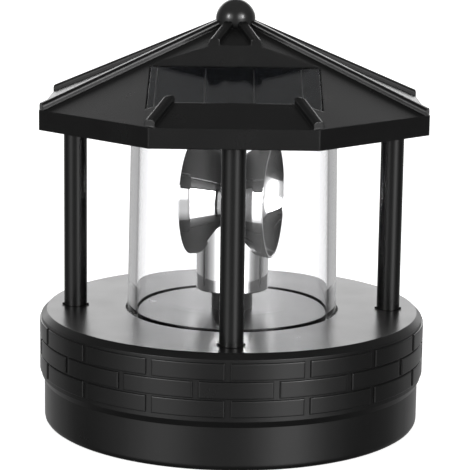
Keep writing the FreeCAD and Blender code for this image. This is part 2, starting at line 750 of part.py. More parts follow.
def lantern_tube():
    """Clear tube round the reflector, a little wider at its foot than at the top."""
    body = new_body("lantern_tube")
    low, high = "(deck_height - tube_slot_deep)", f"({PLATE_LOW} + tube_slot_deep / 2)"
    turned(body, outline(attach(body, "wall", "XZ_Plane"), [
        ("tube_foot_radius - tube_wall", low), ("tube_foot_radius", low),
        ("tube_top_radius", high), ("tube_top_radius - tube_wall", high)]))
    return body


def post(name, angle, bored_through):
    """One post, with a spigot at each end. Screws enter its ends, or leads pass through it."""
    body = new_body(f"post_{name}")
    low, high = "(deck_height - spigot_long)", f"({PLATE_LOW} + spigot_long)"
    bore = "lead_hole" if bored_through else "post_bore"
    outside = [(bore, low), ("spigot_radius", low), ("spigot_radius", "deck_height"),
               ("post_radius", "deck_height"), ("post_radius", PLATE_LOW),
               ("spigot_radius", PLATE_LOW), ("spigot_radius", high), (bore, high)]
    core = [] if bored_through else [
        (bore, f"{high} - post_bore_deep"), ("0", f"{high} - post_bore_deep"),
        ("0", f"{low} + post_bore_deep"), (bore, f"{low} + post_bore_deep")]
    turned(body, outline(attach(body, "profile", "XZ_Plane"), outside + core))
    lugs = attach(body, "lugs", "XZ_Plane")
    for way in ("", "-"):
        rectangle(lugs, f"{way}(post_radius - lug_size)", f"{way}(post_radius + lug_size)",
                  "deck_height", "deck_height + lug_size")
    pad(body, lugs, "lug_size", "Symmetric")
    across, up = polar("post_circle", angle)
    body.setExpression(".Placement.Base.x", bound(across))
    body.setExpression(".Placement.Base.y", bound(up))
    return body


def roof_plate():
    """Eight-sided plate inside the eaves that holds the tube and the tops of the posts."""
    body = new_body("roof_plate")
    pad(body, octagon(attach(body, "plate", "XY_Plane", PLATE_LOW),
                      f"({INNER_APOTHEM} - plate_gap)"), "plate_thick")
    turned(body, rectangle(attach(body, "slot", "XZ_Plane"),
                           "tube_top_radius - tube_wall - tube_slot_gap",
                           "tube_top_radius + tube_slot_gap",
                           f"{PLATE_LOW} - 1",
                           f"{PLATE_LOW} + tube_slot_deep / 2 + tube_end_play"), "Groove")
    pocket(body, circles(attach(body, "sockets", "XY_Plane", PLATE_LOW),
                         [(*polar("post_circle", angle), "spigot_radius + socket_gap")
                          for angle in POSTS.values()]),
           "spigot_long + socket_gap", up=True)
    pocket(body, circles(attach(body, "holes", "XY_Plane", PLATE_LOW),
                         [(*spot, CLEAR) for spot in SCREWED_POSTS + ROOF_SCREWS]
                         + [(*polar("post_circle", POSTS["rear"]), "lead_hole")]),
           "2 * plate_thick", up=True)
    return body


def window_outline(near, far, drop, top=None):
    """Side view of a slab under the solar panel's plane, from near to far of the axis.

    The upper side lies drop below the panel's face, or runs level at top where given.
    """
    line = f"({PANEL_LINE} - {drop})"
    if top is None:
        return [(f"-{far}", f"{line} - panel_slope * {far}"),
                (f"-{near}", f"{line} - panel_slope * {near}")]
    return [(f"-{far}", f"{line} - panel_slope * {far}"),
            (f"-{near}", f"{line} - panel_slope * {near}"),
            (f"-{near}", top), (f"-{far}", top)]


def roof_hollow():
    """The room under the roof, less the tray that the solar panel lies in."""
    body = doc.addObject("PartDesign::Body", "roof_hollow")
    turn_in = f"({APEX} - {ROOF_DROP} - tan(roof_pitch) * {INNER_APOTHEM})"
    pad(body, octagon(attach(body, "skirt", "XY_Plane", "eave_height - 1"), INNER_APOTHEM),
        f"{turn_in} - eave_height + 1")
    low = octagon(attach(body, "eave", "XY_Plane", turn_in), INNER_APOTHEM)
    crown = f"({APEX} - {ROOF_DROP} - tan(roof_pitch) * crown_flat)"
    lofted(body, "AdditiveLoft", low, octagon(attach(body, "crown", "XY_Plane", crown),
                                              "crown_flat"))
    tilt = f"cos({PANEL_TILT})"
    tray = window_outline("(window_near - tray_wall)", f"({WINDOW_FAR} + tray_wall)",
                          f"({PANEL_THICK} + tray_floor) / {tilt}", f"{APEX} + 1")
    pocket(body, outline(attach(body, "tray", "YZ_Plane"), tray),
           "panel_long + 2 * window_gap + 2 * tray_wall", "Symmetric")
    return body


def ridge_rib(body):
    """One rib: a round-shouldered section at the eave, drawn up along the ridge."""
    fall = f"(tan(roof_pitch) * {CORNER})"
    end = f"(roof_apothem / {CORNER} - rib_wide / 2 * tan(22.5))"
    top = f"({APEX} + rib_tall - {fall} * {end})"
    half = "(rib_wide / 2)"
    section = outline(attach(body, "rib", "YZ_Plane", end, turn="22.5"), [
        (f"-{half}", f"{top} - 2 * rib_tall"), (half, f"{top} - 2 * rib_tall"),
        (half, f"{top} - rib_round", "rib_round"), (f"{half} - rib_round", top),
        (f"rib_round - {half}", top, "rib_round"), (f"-{half}", f"{top} - rib_round")])
    rib = pad(body, section, f"({end} - rib_start) * sqrt(1 + {fall} ^ 2)")
    rib.UseCustomVector = True
    for axis, formula in (("x", "-cos(22.5)"), ("y", "-sin(22.5)"), ("z", fall)):
        rib.setExpression(f"Direction.{axis}", bound(formula))
    return rib


def roof_shell():
    """Eight-sided roof with a fascia, a rib on every ridge, the window and the ball's seat."""
    body = new_body("roof_shell")
    pad(body, octagon(attach(body, "fascia", "XY_Plane", "eave_height"), "roof_apothem"),
        "fascia_tall")
    low = octagon(attach(body, "eave", "XY_Plane", EAVE_TOP), "roof_apothem")
    tip = "(ball_radius / 2)"
    high = octagon(attach(body, "tip", "XY_Plane", f"{APEX} - tan(roof_pitch) * {tip}"), tip)
    lofted(body, "AdditiveLoft", low, high)
    ring_pattern(body, ridge_rib(body), "8")
    tilt = f"cos({PANEL_TILT})"
    window = window_outline("window_near", WINDOW_FAR, f"{PANEL_THICK} / {tilt}", f"{APEX} + 9")
    pocket(body, outline(attach(body, "window", "YZ_Plane"), window),
           "panel_long + 2 * window_gap", "Symmetric")
    reach = "(ball_radius + ball_gap)"
    flat = f"sqrt({reach} ^ 2 - ball_seat ^ 2)"
    turned(body, outline(attach(body, "ball_seat", "XZ_Plane"), [
        ("0", BALL_SEAT), (flat, BALL_SEAT, reach), (reach, BALL_HEIGHT),
        (reach, f"{BALL_HEIGHT} + 9"), ("0", f"{BALL_HEIGHT} + 9")]), "Groove")
    hollow = body.newObject("PartDesign::Boolean", "roof_room")
    hollow.Type = "Cut"
    hollow.setObjects([roof_hollow()])
    body.Tip = hollow
    boss_top = f"{APEX} - {ROOF_DROP} / 2 - tan(roof_pitch) * {ROOF_SCREW_CIRCLE}"
    pad(body, circles(attach(body, "bosses", "XY_Plane", PLATE_TOP),
                      [(*spot, "boss_radius") for spot in ROOF_SCREWS]),
        f"{boss_top} - {PLATE_TOP} - tan(roof_pitch) * boss_radius")
    pocket(body, circles(attach(body, "pilots", "XY_Plane", PLATE_TOP),
                         [(*spot, PILOT) for spot in ROOF_SCREWS]),
           "screw_long - plate_thick + 0.5", up=True)
    pocket(body, circles(attach(body, "peg_hole", "XY_Plane", BALL_SEAT),
                         [("0", "0", "peg_radius + screw_pilot_gap")]), "2 * peg_long")
    pocket(body, circles(attach(body, "lead_hole", "XY_Plane", f"{APEX}"),
                         [("0", f"-{WINDOW_FAR} / 2", "lead_hole")]), "roof_apothem / 2")
    return body


def solar_panel():
    """Flat solar panel tilted in its window: a cell board under a layer of clear resin."""
    board = new_body("solar_panel")
    resin = new_body("panel_resin")
    half = "panel_long / 2"
    pad(board, rectangle(attach(board, "outline", "XY_Plane", f"-{PANEL_THICK}"),
                         f"-{half}", half, "-panel_wide", "0"), "panel_board")
    cover = pad(resin, rectangle(attach(resin, "outline", "XY_Plane", "-panel_resin"),
                                 f"-{half}", half, "-panel_wide", "0"), "panel_resin")
    doc.recompute()
    top_edges = [f"Edge{number}" for number, edge in enumerate(cover.Shape.Edges, start=1)
                 if edge.BoundBox.ZMin > -0.01]
    bevel = resin.newObject("PartDesign::Chamfer", "panel_bevel")
    bevel.Base = (cover, top_edges)
    bevel.setExpression("Size", bound("panel_edge"))
    for piece in (board, resin):
        piece.Placement = Placement(Vector(0, 0, 0), Rotation(Vector(1, 0, 0), 1))
        piece.setExpression(".Placement.Rotation.Angle", bound(PANEL_TILT))
        piece.setExpression(".Placement.Base.y", bound(f"-panel_near"))
        piece.setExpression(".Placement.Base.z", bound(
            f"{PANEL_LINE} - panel_slope * panel_near"))


def finial_ball():
    """Ball on the crown of the roof, with the peg that holds it."""
    body = new_body("finial_ball")
    flat = "sqrt(ball_radius ^ 2 - ball_seat ^ 2)"
    turned(body, outline(attach(body, "profile", "XZ_Plane"), [
        ("0", f"{BALL_SEAT} - peg_long"), ("peg_radius", f"{BALL_SEAT} - peg_long"),
        ("peg_radius", BALL_SEAT), (flat, BALL_SEAT, "ball_radius"),
        ("0", f"{BALL_HEIGHT} + ball_radius")]))
    return body


def reflector():
    """Two dishes back to back on a hollow stem, with an eye for the lamp between them."""
    body = new_body("reflector")
    axis_plane = attach(body, "horn", "XZ_Plane", rise="horn_height")
    waist = "horn_waist + horn_waist_round - sqrt(horn_waist_round ^ 2 - horn_waist_half ^ 2)"
    turned(body, outline(axis_plane, [
        ("-horn_half", "0"), ("horn_half", "0"), ("horn_half", "horn_rim"),
        ("horn_band", "horn_rim - horn_lip / 2"),
        ("horn_waist_half", waist, "-horn_waist_round"), ("-horn_waist_half", waist),
        ("-horn_band", "horn_rim - horn_lip / 2"), ("-horn_half", "horn_rim")]), axis="H_Axis")
    pad(body, circles(attach(body, "stem", "XY_Plane", "stem_foot"),
                      [("0", "0", "stem_radius")]), "horn_height - stem_foot")
    pocket(body, circles(attach(body, "stem_room", "XY_Plane", "stem_foot + stem_floor"),
                         [("0", "0", "stem_radius - stem_wall")]),
           "horn_height - horn_rim - stem_foot - stem_floor", up=True)
    for side, way in (("right", ""), ("left", "-")):
        bowl = attach(body, f"dish_{side}", "XZ_Plane", rise="horn_height")
        rim = "horn_rim - horn_lip"
        sweep = "dish_round" if way else "-dish_round"
        turned(body, outline(bowl, [
            ("0", "0"), ("0", "dish_eye"), (f"{way}dish_eye_half", "dish_eye", sweep),
            (f"{way}horn_half", rim), (f"{way}(horn_half + 1)", rim),
            (f"{way}(horn_half + 1)", "0")]), "Groove", axis="H_Axis")
    pocket(body, circles(attach(body, "post_hole", "XY_Plane", "stem_foot - 1"),
                         [("0", "0", "lamp_flange + 0.5")]),
           "horn_height - stem_foot + 1", up=True)
    pocket(body, circles(attach(body, "hub_seat", "XY_Plane", "stem_foot - 1"),
                         [("0", "0", "hub_radius - spigot_ring + running_gap")]),
           "1 + spigot_ring_tall", up=True)
    body.setExpression(".Placement.Rotation.Angle", bound("horn_turn"))
    return body


def spindle():
    """Hollow spindle: a hub above the deck and a journal that runs in the bush."""
    body = new_body("spindle")
    groove_top = "(gear_low - 0.1)"
    turned(body, outline(attach(body, "profile", "XZ_Plane"), [
        ("spindle_bore", "journal_low"), ("journal_radius", "journal_low"),
        ("journal_radius", f"{groove_top} - clip_thick - 0.1"),
        ("journal_radius - clip_groove", f"{groove_top} - clip_thick - 0.1"),
        ("journal_radius - clip_groove", groove_top), ("journal_radius", groove_top),
        ("journal_radius", HUB_LOW), ("hub_radius", HUB_LOW), ("hub_radius", "stem_foot"),
        ("hub_radius - spigot_ring", "stem_foot"),
        ("hub_radius - spigot_ring", "stem_foot + spigot_ring_tall"),
        ("spindle_bore", "stem_foot + spigot_ring_tall")]))
    return body


def spindle_bush():
    """Flanged plain bearing let into the deck from below."""
    body = new_body("spindle_bush")
    bore = "journal_radius + running_gap"
    turned(body, outline(attach(body, "profile", "XZ_Plane"), [
        (bore, BUSH_LOW), ("bush_flange", BUSH_LOW), ("bush_flange", DECK_UNDER),
        (f"{BUSH_RADIUS} - running_gap", DECK_UNDER),
        (f"{BUSH_RADIUS} - running_gap", "deck_height + hub_lift - running_gap"),
        (bore, "deck_height + hub_lift - running_gap")]))
    return body


def gear_clip():
    """Open retaining ring in the spindle's groove, under the gear."""
    body = new_body("gear_clip")
    inner = "(journal_radius - clip_groove + 0.05)"
    low = "(gear_low - 0.15 - clip_thick)"
    ring = attach(body, "ring", "XY_Plane", low)
    pad(body, circles(ring, [("0", "0", f"{inner} + clip_wide"), ("0", "0", inner)]),
        "clip_thick")
    pocket(body, rectangle(attach(body, "mouth", "XY_Plane", low), "0", "journal_radius * 3",
                           "-clip_mouth / 2", "clip_mouth / 2"), "clip_thick", up=True)
    return body


def tooth_outline(teeth, thinning):
    """Closed wire of a spur gear centred on the z axis, with a tooth on the +X side.

    Each flank is an arc through three points of the involute.
    """
    module, reach = SIZES["gear_module"], SIZES["tooth_reach"]
    pressure = math.radians(SIZES["pressure_angle"])
    pitch = module * teeth / 2
    base = pitch * math.cos(pressure)
    tip = pitch + reach * module
    root = pitch - SIZES["tooth_clearance"] * module
    half_tooth = (math.pi * module / 2 - thinning) / (2 * pitch)
    spread = math.tan(pressure) - pressure

    def flank(radius, centre, side):
        """Point of the involute at a radius, on one side of a tooth."""
        slope = math.acos(min(1.0, base / radius))
        angle = centre + side * (half_tooth + spread - (math.tan(slope) - slope))
        return Vector(radius * math.cos(angle), radius * math.sin(angle), 0)

    edges = []
    for number in range(teeth):
        centre = 2 * math.pi * number / teeth
        following = 2 * math.pi * (number + 1) / teeth
        start = max(base, root)
        middle = (start + tip) / 2
        rise = [flank(radius, centre, -1) for radius in (start, middle, tip)]
        fall = [flank(radius, centre, 1) for radius in (tip, middle, start)]
        crest = Vector(tip * math.cos(centre), tip * math.sin(centre), 0)
        foot_in, foot_out = rise[0] * (root / start), fall[2] * (root / start)
        if start > root:
            edges.append(Part.LineSegment(foot_in, rise[0]).toShape())
        edges.append(Part.Arc(*rise).toShape())
        edges.append(Part.Arc(rise[2], crest, fall[0]).toShape())
        edges.append(Part.Arc(*fall).toShape())
        if start > root:
            edges.append(Part.LineSegment(fall[2], foot_out).toShape())
        valley_angle = (centre + following) / 2
        valley = Vector(root * math.cos(valley_angle), root * math.sin(valley_angle), 0)
        next_foot = flank(start, following, -1) * (root / start)
        edges.append(Part.Arc(foot_out, valley, next_foot).toShape())
    return Part.Wire(edges)


def spur_gear(label, teeth, bore, face, low, across, up, turn):
    """Spur gear as a solid of its own, read from the sheet's sizes."""
    ring = Part.Face(tooth_outline(int(SIZES[teeth]), SIZES["backlash"]))
    blank = ring.extrude(Vector(0, 0, value(face)))
    hole = Part.makeCylinder(value(bore), value(face) + 2, Vector(0, 0, -1))
    gear = doc.addObject("Part::Feature", label)
    gear.Shape = blank.cut(hole)
    gear.Placement = Placement(Vector(value(across), value(up), value(low)),
                               Rotation(Vector(0, 0, 1), turn))
    gear.Label = label
    pieces.append(gear)


def gears():
    """Drive gear on the spindle and the motor's pinion, in mesh on the line between them."""
    spur_gear("drive_gear", "gear_teeth", "journal_radius + 0.02", "gear_face", "gear_low",
              "0", "0", -90)
    spur_gear("pinion", "pinion_teeth", "motor_shaft + 0.02", "gear_face + pinion_extra",
              "gear_low - pinion_extra / 2", "0", f"-{CENTRE_DISTANCE}",
              90 + 180 / SIZES["pinion_teeth"])


def motor():
    """Geared-down motor: sealed can, mounting plate with two ears, and output shaft."""
    body = new_body("motor_can")
    place = f"-{CENTRE_DISTANCE}"
    pad(body, circles(attach(body, "can", "XY_Plane", "motor_low"),
                      [("0", place, "motor_radius")]), "motor_tall")
    doc.recompute()
    pocket(body, circles(attach(body, "shaft_hole", "XY_Plane", MOTOR_TOP),
                         [("0", place, "motor_shaft + running_gap")]), "motor_shaft_deep + 0.2")
    plate = new_body("motor_plate")
    ear = "motor_ear_radius"
    pad(plate, outline(attach(plate, "plate", "XY_Plane", MOTOR_TOP), [
        ("-motor_ear", f"{place} - {ear}"), ("motor_ear", f"{place} - {ear}", ear),
        (f"motor_ear + {ear}", place, ear), ("motor_ear", f"{place} + {ear}"),
        ("-motor_ear", f"{place} + {ear}", ear), (f"-motor_ear - {ear}", place, ear)]),
        "motor_plate")
    pocket(plate, circles(attach(plate, "holes", "XY_Plane", MOTOR_TOP),
                          [(*spot, CLEAR) for spot in MOTOR_SCREWS]
                          + [("0", place, "2 * motor_shaft")]), "motor_plate", up=True)
    shaft = new_body("motor_shaft")
    low = f"({MOTOR_TOP} - motor_shaft_deep)"
    pad(shaft, circles(attach(shaft, "shaft", "XY_Plane", low), [("0", place, "motor_shaft")]),
        f"{GEAR_TOP} + pinion_extra - {low}")


def lamp():
    """Fixed lamp post that passes up through the spindle, and the lamp on top of it."""
    tube = new_body("lamp_post")
    low = f"({COVER_TOP} + tower_tall - tower_socket)"
    pad(tube, circles(attach(tube, "tube", "XY_Plane", low),
                      [("0", "0", "lamp_post_radius"), ("0", "0", "lamp_post_bore")]),
        f"{LAMP_LOW} - {low}")
    lens = new_body("lamp")
    dome = f"{LAMP_LOW} + lamp_flange_thick + lamp_tall"
    turned(lens, outline(attach(lens, "profile", "XZ_Plane"), [
        ("0", LAMP_LOW), ("lamp_flange", LAMP_LOW),
        ("lamp_flange", f"{LAMP_LOW} + lamp_flange_thick"),
        ("lamp_radius", f"{LAMP_LOW} + lamp_flange_thick"),
        ("lamp_radius", dome, "lamp_radius"), ("0", f"{dome} + lamp_radius")]))


def screws():
    """Every group of identical screws, seated on the face that each one bears on."""
    screw_group("cover_screws", COVER_SCREWS, "(cover_low + screw_sink - 0.5)")
    screw_group("door_screw", [(DOOR_SCREW, "bay_place")], "(cover_low + door_thick / 2)")
    screw_group("motor_screws", MOTOR_SCREWS, MOTOR_TOP)
    screw_group("board_screws", BOARD_SCREWS, f"({BOARD_LOW} + board_thick)", upwards=False)
    screw_group("deck_screws", SCREWED_POSTS, f"({DECK_UNDER} - post_boss)")
    screw_group("plate_screws", SCREWED_POSTS, PLATE_TOP, upwards=False)
    screw_group("roof_screws", ROOF_SCREWS, PLATE_LOW)


def build():
    """Make every piece of the ornament, from the base up."""
    base_housing()
    bottom_cover()
    battery_door()
    battery_cell()
    battery_contacts()
    circuit_board()
    slide_switch()
    motor()
    spindle_bush()
    spindle()
    gear_clip()
    gears()
    lamp()
    reflector()
    lantern_tube()
    for name, angle in POSTS.items():
        post(name, angle, bored_through=name == "rear")
    roof_plate()
    roof_shell()
    solar_panel()
    finial_ball()
    screws()


def check_and_export():
    """Stop at a failed feature or an invalid piece, then write every piece to its own file."""
    doc.recompute()
    for item in doc.Objects:
        if {"Invalid", "Error"} & set(item.State):
            raise RuntimeError(f"{item.Name} failed: {item.State}")
    for piece in pieces:
        if piece.Shape.isNull() or not piece.Shape.isValid() or not piece.Shape.Solids:
            raise RuntimeError(f"{piece.Label} is not a valid solid")
    os.makedirs("parts", exist_ok=True)
    for piece in pieces:
        piece.Shape.exportStep(f"parts/{piece.Label}.step")
        print(piece.Label, len(piece.Shape.Solids), round(piece.Shape.Volume, 1))


fill_sheet()
build()
check_and_export()
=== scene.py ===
"""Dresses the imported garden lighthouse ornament: finishes, finely meshed pieces, floor, light and camera."""

import json
import logging
import math
from dataclasses import dataclass
from enum import Enum

import bpy
import numpy as np
from mathutils import Euler, Matrix, Vector

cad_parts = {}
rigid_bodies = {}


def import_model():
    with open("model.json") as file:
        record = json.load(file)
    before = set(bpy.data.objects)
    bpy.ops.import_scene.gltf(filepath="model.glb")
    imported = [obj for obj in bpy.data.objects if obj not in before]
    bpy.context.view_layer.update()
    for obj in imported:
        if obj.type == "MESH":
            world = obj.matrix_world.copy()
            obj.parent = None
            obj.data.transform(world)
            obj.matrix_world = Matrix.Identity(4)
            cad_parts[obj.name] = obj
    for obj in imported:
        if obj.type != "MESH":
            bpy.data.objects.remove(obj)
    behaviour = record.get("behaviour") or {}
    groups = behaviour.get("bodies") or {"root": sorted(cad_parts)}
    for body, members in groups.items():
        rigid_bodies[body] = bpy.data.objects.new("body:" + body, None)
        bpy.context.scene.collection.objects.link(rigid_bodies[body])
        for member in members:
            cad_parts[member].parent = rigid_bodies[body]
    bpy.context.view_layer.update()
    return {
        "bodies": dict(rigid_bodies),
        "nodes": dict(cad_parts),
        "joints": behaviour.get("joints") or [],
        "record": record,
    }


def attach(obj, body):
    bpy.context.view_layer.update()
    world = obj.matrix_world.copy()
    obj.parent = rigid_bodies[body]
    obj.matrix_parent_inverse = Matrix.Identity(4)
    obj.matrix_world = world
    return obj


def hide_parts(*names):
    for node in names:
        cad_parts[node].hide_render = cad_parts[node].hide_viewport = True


LOG = logging.getLogger("lighthouse")
MM = 0.001
SAME = 0.000001  # lengths in millimetres that differ by less count as the same
TINY = 0.0001  # arcs in radians and gaps in millimetres below this are left out
ARC_SHARE = 0.45  # most of a side that the arc at one end may take
GUARD_SHARE = 0.49  # most of a side that the arc and its guard point may take
SLAB_POINTS = 5  # points round a slab's corner
SLAB_LEAST = 0.02  # least corner radius of a slab's rings, in millimetres
SHARP = math.radians(50)  # angle from which an edge is shaded sharp
CUT_SHARP = math.radians(40)  # the same on a piece that was cut
Colour = tuple[float, float, float]
Pair = tuple[float, float]
Socket = bpy.types.NodeSocket


def grey(level: float) -> Colour:
    """Gives a neutral colour, with one linear level in red, green and blue."""
    return (level, level, level)


# ---------------------------------------------------------------- finishes


class Graph:
    """A node tree, with short calls to add and join nodes.

    Attributes:
        SHARE: Place of a Mix node's share among its inputs.
        NUMBERS: Places of its two numbers.
        COLOURS: Places of its two colours.
        MIXED: Place of its mixed colour among its outputs.
        HALF: Limit between no, which is 0, and yes, which is 1.
        ROUNDING: Samples of the node that rounds sharp edges.
    """

    SHARE = 0
    NUMBERS = (2, 3)
    COLOURS = (6, 7)
    MIXED = 2
    HALF = 0.5
    ROUNDING = 6

    def __init__(self, tree: bpy.types.NodeTree) -> None:
        """Empties the tree that is to be filled."""
        self.tree = tree
        self.tree.nodes.clear()

    def add(self, kind: str, **settings: object) -> bpy.types.Node:
        """Adds a node.

        Args:
            kind: Blender's node type.
            **settings: Node attributes to set.

        Returns:
            The node.
        """
        node = self.tree.nodes.new(kind)
        for key, value in settings.items():
            setattr(node, key, value)
        return node

    def join(self, source: Socket, target: Socket) -> None:
        """Links an output to an input."""
        self.tree.links.new(source, target)

    def place(self) -> Socket:
        """Gives the surface point in the object's own metres."""
        return self.add("ShaderNodeTexCoord").outputs["Object"]

    def noise(self, scale: float, detail: float = 2.0) -> Socket:
        """Adds a noise field over the object.

        Args:
            scale: Cycles per metre.
            detail: Octaves.

        Returns:
            The value output, from 0 to 1.
        """
        node = self.add("ShaderNodeTexNoise")
        node.inputs["Scale"].default_value = scale
        node.inputs["Detail"].default_value = detail
        self.join(self.place(), node.inputs["Vector"])
        return node.outputs["Fac"]

    def sum(self, operation: str, first: Socket, second: Socket | float) -> Socket:
        """Combines two values by arithmetic.

        Args:
            operation: Blender's name of the operation.
            first: First value.
            second: Second value, a socket or a number.

        Returns:
            The result.
        """
        node = self.add("ShaderNodeMath", operation=operation)
        self.join(first, node.inputs[0])
        if isinstance(second, float):
            node.inputs[1].default_value = second
        else:
            self.join(second, node.inputs[1])
        return node.outputs[0]

    def blend(self, first: Socket, second: Socket | float, share: Socket) -> Socket:
        """Goes from one value to another.

        Args:
            first: Value at a share of 0.
            second: Value at a share of 1, a socket or a number.
            share: The share.

        Returns:
            The mixed value.
        """
        node = self.add("ShaderNodeMix", data_type="FLOAT")
        start, stop = (node.inputs[place] for place in self.NUMBERS)
        self.join(share, node.inputs[self.SHARE])
        self.join(first, start)
        if isinstance(second, float):
            stop.default_value = second
        else:
            self.join(second, stop)
        return node.outputs[0]

    def in_view(self) -> Socket:
        """Tells what the eye sees, straight or through glass, from what a reflection sees.

        Returns:
            1 for a camera ray and for a transmission ray before any gloss, and 0 for every other ray.
        """
        path = self.add("ShaderNodeLightPath")
        plain = self.sum("LESS_THAN", path.outputs["Glossy Depth"], self.HALF)
        through = self.sum("MULTIPLY", path.outputs["Is Transmission Ray"], plain)
        return self.sum("MAXIMUM", path.outputs["Is Camera Ray"], through)

    def span(self, source: Socket, low: float, high: float, start: float = 0.0, stop: float = 1.0,
             interpolation: str = "LINEAR") -> Socket:
        """Maps a value from one span to another.

        Args:
            source: The value.
            low: Result at the start.
            high: Result at the stop.
            start: Value that gives the low result.
            stop: Value that gives the high result.
            interpolation: Blender's name of the curve between them.

        Returns:
            The mapped output.
        """
        node = self.add("ShaderNodeMapRange", interpolation_type=interpolation)
        for name, value in (("From Min", start), ("From Max", stop), ("To Min", low), ("To Max", high)):
            node.inputs[name].default_value = value
        self.join(source, node.inputs["Value"])
        return node.outputs["Result"]

    def tint(self, source: Socket, dark: Colour, light: Colour) -> Socket:
        """Mixes two colours by a value.

        Args:
            source: The value.
            dark: Colour at 0.
            light: Colour at 1.

        Returns:
            The colour output.
        """
        node = self.add("ShaderNodeMix", data_type="RGBA")
        for place, colour in zip(self.COLOURS, (dark, light)):
            node.inputs[place].default_value = (*colour, 1.0)
        self.join(source, node.inputs[self.SHARE])
        return node.outputs[self.MIXED]

    def bump(self, height: Socket, depth: float, edge: float = 0.0) -> Socket:
        """Turns a height field into a normal.

        Args:
            height: Height from 0 to 1.
            depth: Height of 1, in metres.
            edge: Radius to which sharp edges look rounded, in metres, or 0.

        Returns:
            The normal output.
        """
        node = self.add("ShaderNodeBump")
        node.inputs["Distance"].default_value = depth
        self.join(height, node.inputs["Height"])
        if edge:
            soft = self.add("ShaderNodeBevel", samples=self.ROUNDING)
            soft.inputs["Radius"].default_value = edge
            self.join(soft.outputs[0], node.inputs["Normal"])
        return node.outputs["Normal"]

    def around(self, direction: Socket, levels: tuple[Pair, ...]) -> Socket:
        """Gives a brightness that depends on the azimuth, which is 0 at the camera's side.

        Args:
            direction: Vector from the object outwards.
            levels: Azimuths in degrees and their brightness.

        Returns:
            The brightness.
        """
        top = max(level for _, level in levels)
        split = self.add("ShaderNodeSeparateXYZ")
        self.join(direction, split.inputs[0])
        back = self.sum("MULTIPLY", split.outputs["Y"], -1.0)
        turn = self.span(self.sum("ARCTAN2", split.outputs["X"], back), 0.0, 1.0, -math.pi, math.pi)
        ramp = self.add("ShaderNodeValToRGB")
        stops = ramp.color_ramp.elements
        for stop, (_, level) in zip(stops, (levels[0], levels[-1])):
            stop.color = (*grey(level / top), 1.0)
        for azimuth, level in levels[1:-1]:
            stops.new(azimuth / 360 + 0.5).color = (*grey(level / top), 1.0)
        self.join(turn, ramp.inputs[0])
        return self.sum("MULTIPLY", ramp.outputs[0], top)


class Coat(Graph):
    """A material's node tree."""

    def __init__(self, name: str) -> None:
        """Starts an empty material of that name."""
        self.material = bpy.data.materials.new(name)
        self.material.use_nodes = True
        super().__init__(self.material.node_tree)
        self.output = self.add("ShaderNodeOutputMaterial")

    def surface(self, **values: object) -> bpy.types.Node:
        """Adds the shader that covers the surface.

        Args:
            **values: Socket names, with underscores for blanks, and their constants.

        Returns:
            The Principled node.
        """
        shader = self.add("ShaderNodeBsdfPrincipled")
        for key, value in values.items():
            shader.inputs[key.replace("_", " ")].default_value = value
        self.join(shader.outputs[0], self.output.inputs["Surface"])
        return shader


@dataclass(frozen=True)
class Moulded:
    """Injection-moulded plastic with a fine spark-eroded grain.

    Attributes:
        name: Material name.
        colour: Middle colour, linear.
        rough: Middle roughness.
        grain: Grain cells per metre.
        depth: Grain depth in metres.
        mottle: Share by which the colour varies.
        index: Refractive index of the skin.
        edge: Radius to which the CAD's sharp edges look rounded, in metres, or 0.
        cloud: Clouds of the mottle per metre.
        octaves: Detail of the mottle.
        swing: How far the roughness varies.
    """

    name: str
    colour: Colour
    rough: float
    grain: float = 2600.0
    depth: float = 0.000003
    mottle: float = 0.15
    index: float = 1.35
    edge: float = 0.0
    cloud: float = 90.0
    octaves: float = 4.0
    swing: float = 0.04

    def make(self) -> bpy.types.Material:
        """Builds the material.

        Returns:
            The material.
        """
        coat = Coat(self.name)
        shader = coat.surface(IOR=self.index)
        cloud = coat.noise(self.cloud, self.octaves)
        low = tuple(c * (1 - self.mottle) for c in self.colour)
        high = tuple(c * (1 + self.mottle) for c in self.colour)
        coat.join(coat.tint(cloud, low, high), shader.inputs["Base Color"])
        rough = coat.span(cloud, self.rough - self.swing, self.rough + self.swing)
        coat.join(rough, shader.inputs["Roughness"])
        coat.join(coat.bump(coat.noise(self.grain), self.depth, self.edge), shader.inputs["Normal"])
        return coat.material


@dataclass(frozen=True)
class Metal:
    """Bare or plated metal with faint handling marks.

    Attributes:
        name: Material name.
        colour: Reflected colour, linear.
        rough: Middle roughness.
        scratch: Depth of the marks in metres.
        marks: Marks per metre.
        cloud: Clouds of duller and brighter metal per metre.
        octaves: Detail of the clouds.
        swing: Share by which the roughness varies.
    """

    name: str
    colour: Colour
    rough: float
    scratch: float = 0.000002
    marks: float = 900.0
    cloud: float = 160.0
    octaves: float = 5.0
    swing: float = 0.3

    def make(self) -> bpy.types.Material:
        """Builds the material.

        Returns:
            The material.
        """
        coat = Coat(self.name)
        shader = coat.surface(Base_Color=(*self.colour, 1.0), Metallic=1.0)
        cloud = coat.noise(self.cloud, self.octaves)
        rough = coat.span(cloud, self.rough * (1 - self.swing), self.rough * (1 + self.swing))
        coat.join(rough, shader.inputs["Roughness"])
        coat.join(coat.bump(coat.noise(self.marks), self.scratch), shader.inputs["Normal"])
        return coat.material


@dataclass(frozen=True)
class Clear:
    """Clear moulded plastic or glass.

    Attributes:
        name: Material name.
        colour: Transmitted colour, linear.
        rough: Roughness.
        wave: Depth of the slow waves in the wall, in metres.
        index: Refractive index.
        waves: Waves per metre.
    """

    name: str
    colour: Colour = (0.985, 0.99, 0.99)
    rough: float = 0.02
    wave: float = 0.000004
    index: float = 1.49
    waves: float = 60.0

    def make(self) -> bpy.types.Material:
        """Builds the material.

        Returns:
            The material.
        """
        coat = Coat(self.name)
        shader = coat.surface(Base_Color=(*self.colour, 1.0), Roughness=self.rough, IOR=self.index,
                              Transmission_Weight=1.0)
        coat.join(coat.bump(coat.noise(self.waves), self.wave), shader.inputs["Normal"])
        return coat.material


